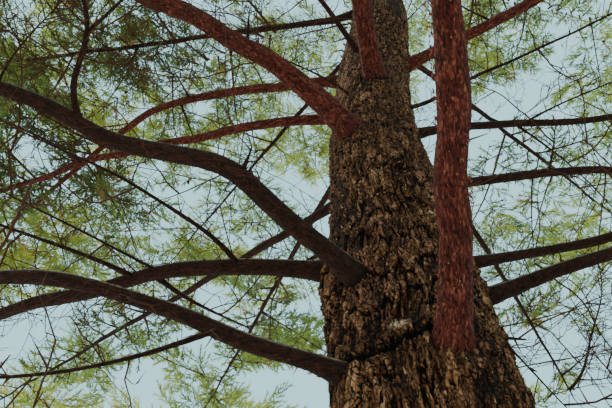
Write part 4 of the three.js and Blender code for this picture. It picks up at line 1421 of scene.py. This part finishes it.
def drawn_lengths(rng, least, most, power):
    """Function that draws side shoots' lengths: from the least towards the most by a random share to
    the power, so that a higher power leaves fewer long ones."""
    return lambda parent, place: lerp(least, most, rng.random(len(place)) ** power)


class PineDeadwoodSettings(bpy.types.PropertyGroup):
    """Sizes and colours of the dead twigs on the bare boughs, and of the fibres on the trunk."""

    long_spacing: length_property("Long spacing", "Distance between long bare twigs", 0.4)
    spacing: length_property("Spacing", "Distance between short dead twigs on a limb", 0.12)
    on_long_spacing: length_property("On long ones", "Distance between short twigs on a long one", 0.14)
    fork_spacing: length_property("Fork spacing", "Distance between forks of a short dead twig", 0.1)
    end_spacing: length_property("End spacing", "Distance between the finest ends", 0.07)
    stub_spacing: length_property("Stub spacing", "Distance between stubs of broken twigs", 0.08)
    tangle: number_property("Tangle", "How many times as many twigs grow in a tangle", 6.0, min=1)
    colour: colour_property("Dead twigs", "Colour of dead twigs", (0.12, 0.038, 0.018))
    fibres: count_property("Fibres", "Curly fibres that hang on the trunk between the boughs", 150)
    fibre_colour: colour_property("Fibres", "Colour of the fibres", (0.24, 0.105, 0.055))


class PINE_OT_deadwood(bpy.types.Operator):
    """Sets dead twigs and their side twigs on the bare limbs, and curly fibres on the trunk"""

    bl_idname = "pine.deadwood"
    bl_label = "Dead twigs and fibres"

    def execute(self, context):
        settings = context.scene.pine_deadwood
        rng = np.random.default_rng(SEEDS["dead_wood"])
        limbs = LIMBED + [DEAD] + grown_side_limbs()
        spans = [np.linspace((limb.buried + 0.1) / limb.length, max(limb.bare, 0.2), LIMB_POINTS)
                 for limb in limbs]
        bare = Shoots(
            np.stack([limb.point(span) for limb, span in zip(limbs, spans)]),
            np.array([limb.length * (span[-1] - span[0]) for limb, span in zip(limbs, spans)]),
            np.array([0.5 * limb.diameter for limb in limbs]), np.arange(len(limbs)))
        closer = np.where([limb.name in TANGLED for limb in limbs], settings.tangle, 1)
        unswept = bare.only(np.array([limb.name not in SWEPT for limb in limbs]))
        long = side_shoots(
            rng, unswept, settings.long_spacing, start=0.15, reach=drawn_lengths(rng, 0.35, 1.3, 1.5),
            angles=(75, 48), rolls=(-60, 60), count=13, curl=(-0.7, 0.9), crook=0.14)
        long.radii = rng.uniform(*LONG_RADII, len(long))
        short = together(*(
            side_shoots(rng, parents, spacing, start=0.1, reach=drawn_lengths(rng, 0.1, 0.5, 2),
                        angles=(80, 50), rolls=(-75, 75), count=8, curl=(-0.8, 1.0), crook=0.15)
            for parents, spacing in ((bare, settings.spacing / closer), (long, settings.on_long_spacing))))
        short.radii = rng.uniform(*SHORT_RADII, len(short))
        forks = side_shoots(
            rng, short, settings.fork_spacing, start=0.15,
            reach=lambda parent, place: 0.5 * short.lengths[parent],
            angles=(65, 40), rolls=(-60, 60), count=5, curl=(-0.6, 0.8), crook=0.16)
        forks.radii = rng.uniform(*FORK_RADII, len(forks))
        ends = side_shoots(
            rng, forks, settings.end_spacing, start=0.2,
            reach=lambda parent, place: 0.45 * forks.lengths[parent],
            angles=(60, 40), rolls=(-70, 70), count=2)
        stub_length = drawn_lengths(rng, 0.02, 0.09, 2)
        stubs = side_shoots(
            rng, bare, settings.stub_spacing, start=0.02,
            reach=lambda parent, place: stub_length(parent, place) + bare.radii[parent],
            angles=(85, 55), rolls=(-85, 85), count=3)
        stubs.radii = rng.uniform(*STUB_RADII, len(stubs))
        parts = Parts()
        for group, sides, tip in ((long, 5, 0.4), (short, 4, 0.4), (forks, 3, 0.4), (stubs, 4, 0.25)):
            tubes(parts, group.paths, group.tapered(tip), sides)
        slivers(rng, parts, ends.paths[:, 0], ends.paths[:, -1], FINEST_TWIG_WIDTH)
        add_piece("dead_twigs", parts, [plain_surface("Dead wood", settings.colour)])
        self.hang_fibres(rng, settings)
        return {"FINISHED"}

    @staticmethod
    def hang_fibres(rng, settings):
        """Fibres leave the bark between the feet of the boughs in any direction, and curl round."""
        count = settings.fibres
        height = rng.uniform(*FIBRE_HEIGHTS, count)
        angle = np.radians(rng.uniform(*FIBRE_HEADINGS, count))
        feet = trunk_points(height, angle, 0.0)
        out = heading_vector(angle, 0 * angle)
        directions = normalised(out + 0.9 * rng.normal(size=out.shape))
        lengths = rng.uniform(*FIBRE_LENGTHS, count)
        paths = curved_paths(rng, feet, directions, lengths, FIBRE_POINTS, curl=(-3.0, 2.0), crook=0.25)
        parts = Parts()
        tubes(parts, paths, np.full((count, FIBRE_POINTS), FIBRE_RADIUS), 3)
        add_piece("fibres", parts, [plain_surface("Fibres", settings.fibre_colour)])


# The stage: a plain floor, soft light, and the camera

class PineStageSettings(bpy.types.PropertyGroup):
    """Floor, light and camera."""

    floor_size: length_property("Floor size", "Width of the square floor", 240.0)
    floor_colour: colour_property("Floor", "Colour of the floor", (0.62, 0.60, 0.56))
    sky_colour: colour_property("Sky", "Colour of the light from all round", (0.50, 0.87, 0.96))
    sky_strength: number_property("Sky strength", "Strength of the light from all round", 1.3, min=0)
    sun_colour: colour_property("Sun", "Colour of the soft lamp", (1.0, 0.93, 0.82))
    sun_strength: number_property("Sun strength", "Strength of the soft lamp", 4.5, min=0)
    sun_width: angle_property("Sun width", "Angle that the soft lamp fills", 0.3)
    sun_heading: angle_property("Sun heading", "Where it stands, from +X towards +Y", np.radians(168.0))
    sun_rise: angle_property("Sun rise", "How high the soft lamp stands", np.radians(60.0))
    lens: number_property("Lens", "Focal length in millimetres", 35.0, min=10)
    camera_place: bpy.props.FloatVectorProperty(
        name="Camera", description="Where the camera stands", default=(-0.45, -1.95, 1.6),
        subtype="TRANSLATION")
    camera_rise: angle_property("Camera rise", "How steeply the camera looks up", np.radians(54.0))


class PINE_OT_stage(bpy.types.Operator):
    """Lays the floor and sets up the light and the camera"""

    bl_idname = "pine.stage"
    bl_label = "Stage"

    def execute(self, context):
        settings = context.scene.pine_stage
        self.lay_floor(settings)
        self.light(context.scene, settings)
        data = bpy.data.cameras.new("camera")
        data.lens = settings.lens
        camera = bpy.data.objects.new("camera", data)
        context.scene.collection.objects.link(camera)
        camera.location = settings.camera_place
        camera.rotation_euler = (0.5 * np.pi + settings.camera_rise, 0, 0)
        context.scene.camera = camera
        return {"FINISHED"}

    @staticmethod
    def lay_floor(settings):
        """A level square whose corners are plus and minus half its size."""
        half = 0.5 * settings.floor_size
        corners = [(-half, -half, 0), (half, -half, 0), (half, half, 0), (-half, half, 0)]
        mesh = bpy.data.meshes.new("floor")
        mesh.from_pydata(corners, [], [(0, 1, 2, 3)])
        mesh.materials.append(Surface("Floor", Base_Color=settings.floor_colour, Roughness=0.9).material)
        floor = bpy.data.objects.new("floor", mesh)
        bpy.context.scene.collection.objects.link(floor)

    @staticmethod
    def light(scene, settings):
        """Even pale light from all round, and one soft lamp high on one side."""
        world = bpy.data.worlds.new("Pale sky")
        world.use_nodes = True
        background = world.node_tree.nodes["Background"]
        background.inputs["Color"].default_value = settings.sky_colour
        background.inputs["Strength"].default_value = settings.sky_strength
        scene.world = world
        data = bpy.data.lights.new("sun", "SUN")
        data.energy = settings.sun_strength
        data.angle = settings.sun_width
        data.color = settings.sun_colour[:3]
        sun = bpy.data.objects.new("sun", data)
        scene.collection.objects.link(sun)
        towards = Vector(heading_vector(settings.sun_heading, settings.sun_rise))
        sun.rotation_euler = towards.to_track_quat("Z", "Y").to_euler()


SETTINGS = {
    "pine_trunk": PineTrunkSettings,
    "pine_boughs": PineBoughSettings,
    "pine_foliage": PineFoliageSettings,
    "pine_deadwood": PineDeadwoodSettings,
    "pine_stage": PineStageSettings,
}
OPERATORS = [PINE_OT_trunk, PINE_OT_boughs, PINE_OT_foliage, PINE_OT_deadwood, PINE_OT_stage]


class PINE_PT_panel(bpy.types.Panel):
    """Lists the pine's pieces and their settings"""

    bl_idname = "PINE_PT_panel"
    bl_label = "Pine"
    bl_space_type = "VIEW_3D"
    bl_region_type = "UI"
    bl_category = "Pine"

    def draw(self, context):
        for operator in OPERATORS:
            self.layout.operator(operator.bl_idname)
        for key, group in SETTINGS.items():
            box = self.layout.box()
            for name in group.__annotations__:
                box.prop(getattr(context.scene, key), name)


def register():
    for cls in [*SETTINGS.values(), *OPERATORS, PINE_PT_panel]:
        bpy.utils.register_class(cls)
    for key, group in SETTINGS.items():
        setattr(bpy.types.Scene, key, bpy.props.PointerProperty(type=group))


def unregister():
    for key in SETTINGS:
        delattr(bpy.types.Scene, key)
    for cls in reversed([*SETTINGS.values(), *OPERATORS, PINE_PT_panel]):
        bpy.utils.unregister_class(cls)


def main():
    """Makes every piece in order."""
    register()
    bpy.ops.pine.trunk()
    bpy.ops.pine.boughs()
    bpy.ops.pine.foliage()
    bpy.ops.pine.deadwood()
    bpy.ops.pine.stage()


if __name__ == "__main__":
    main()
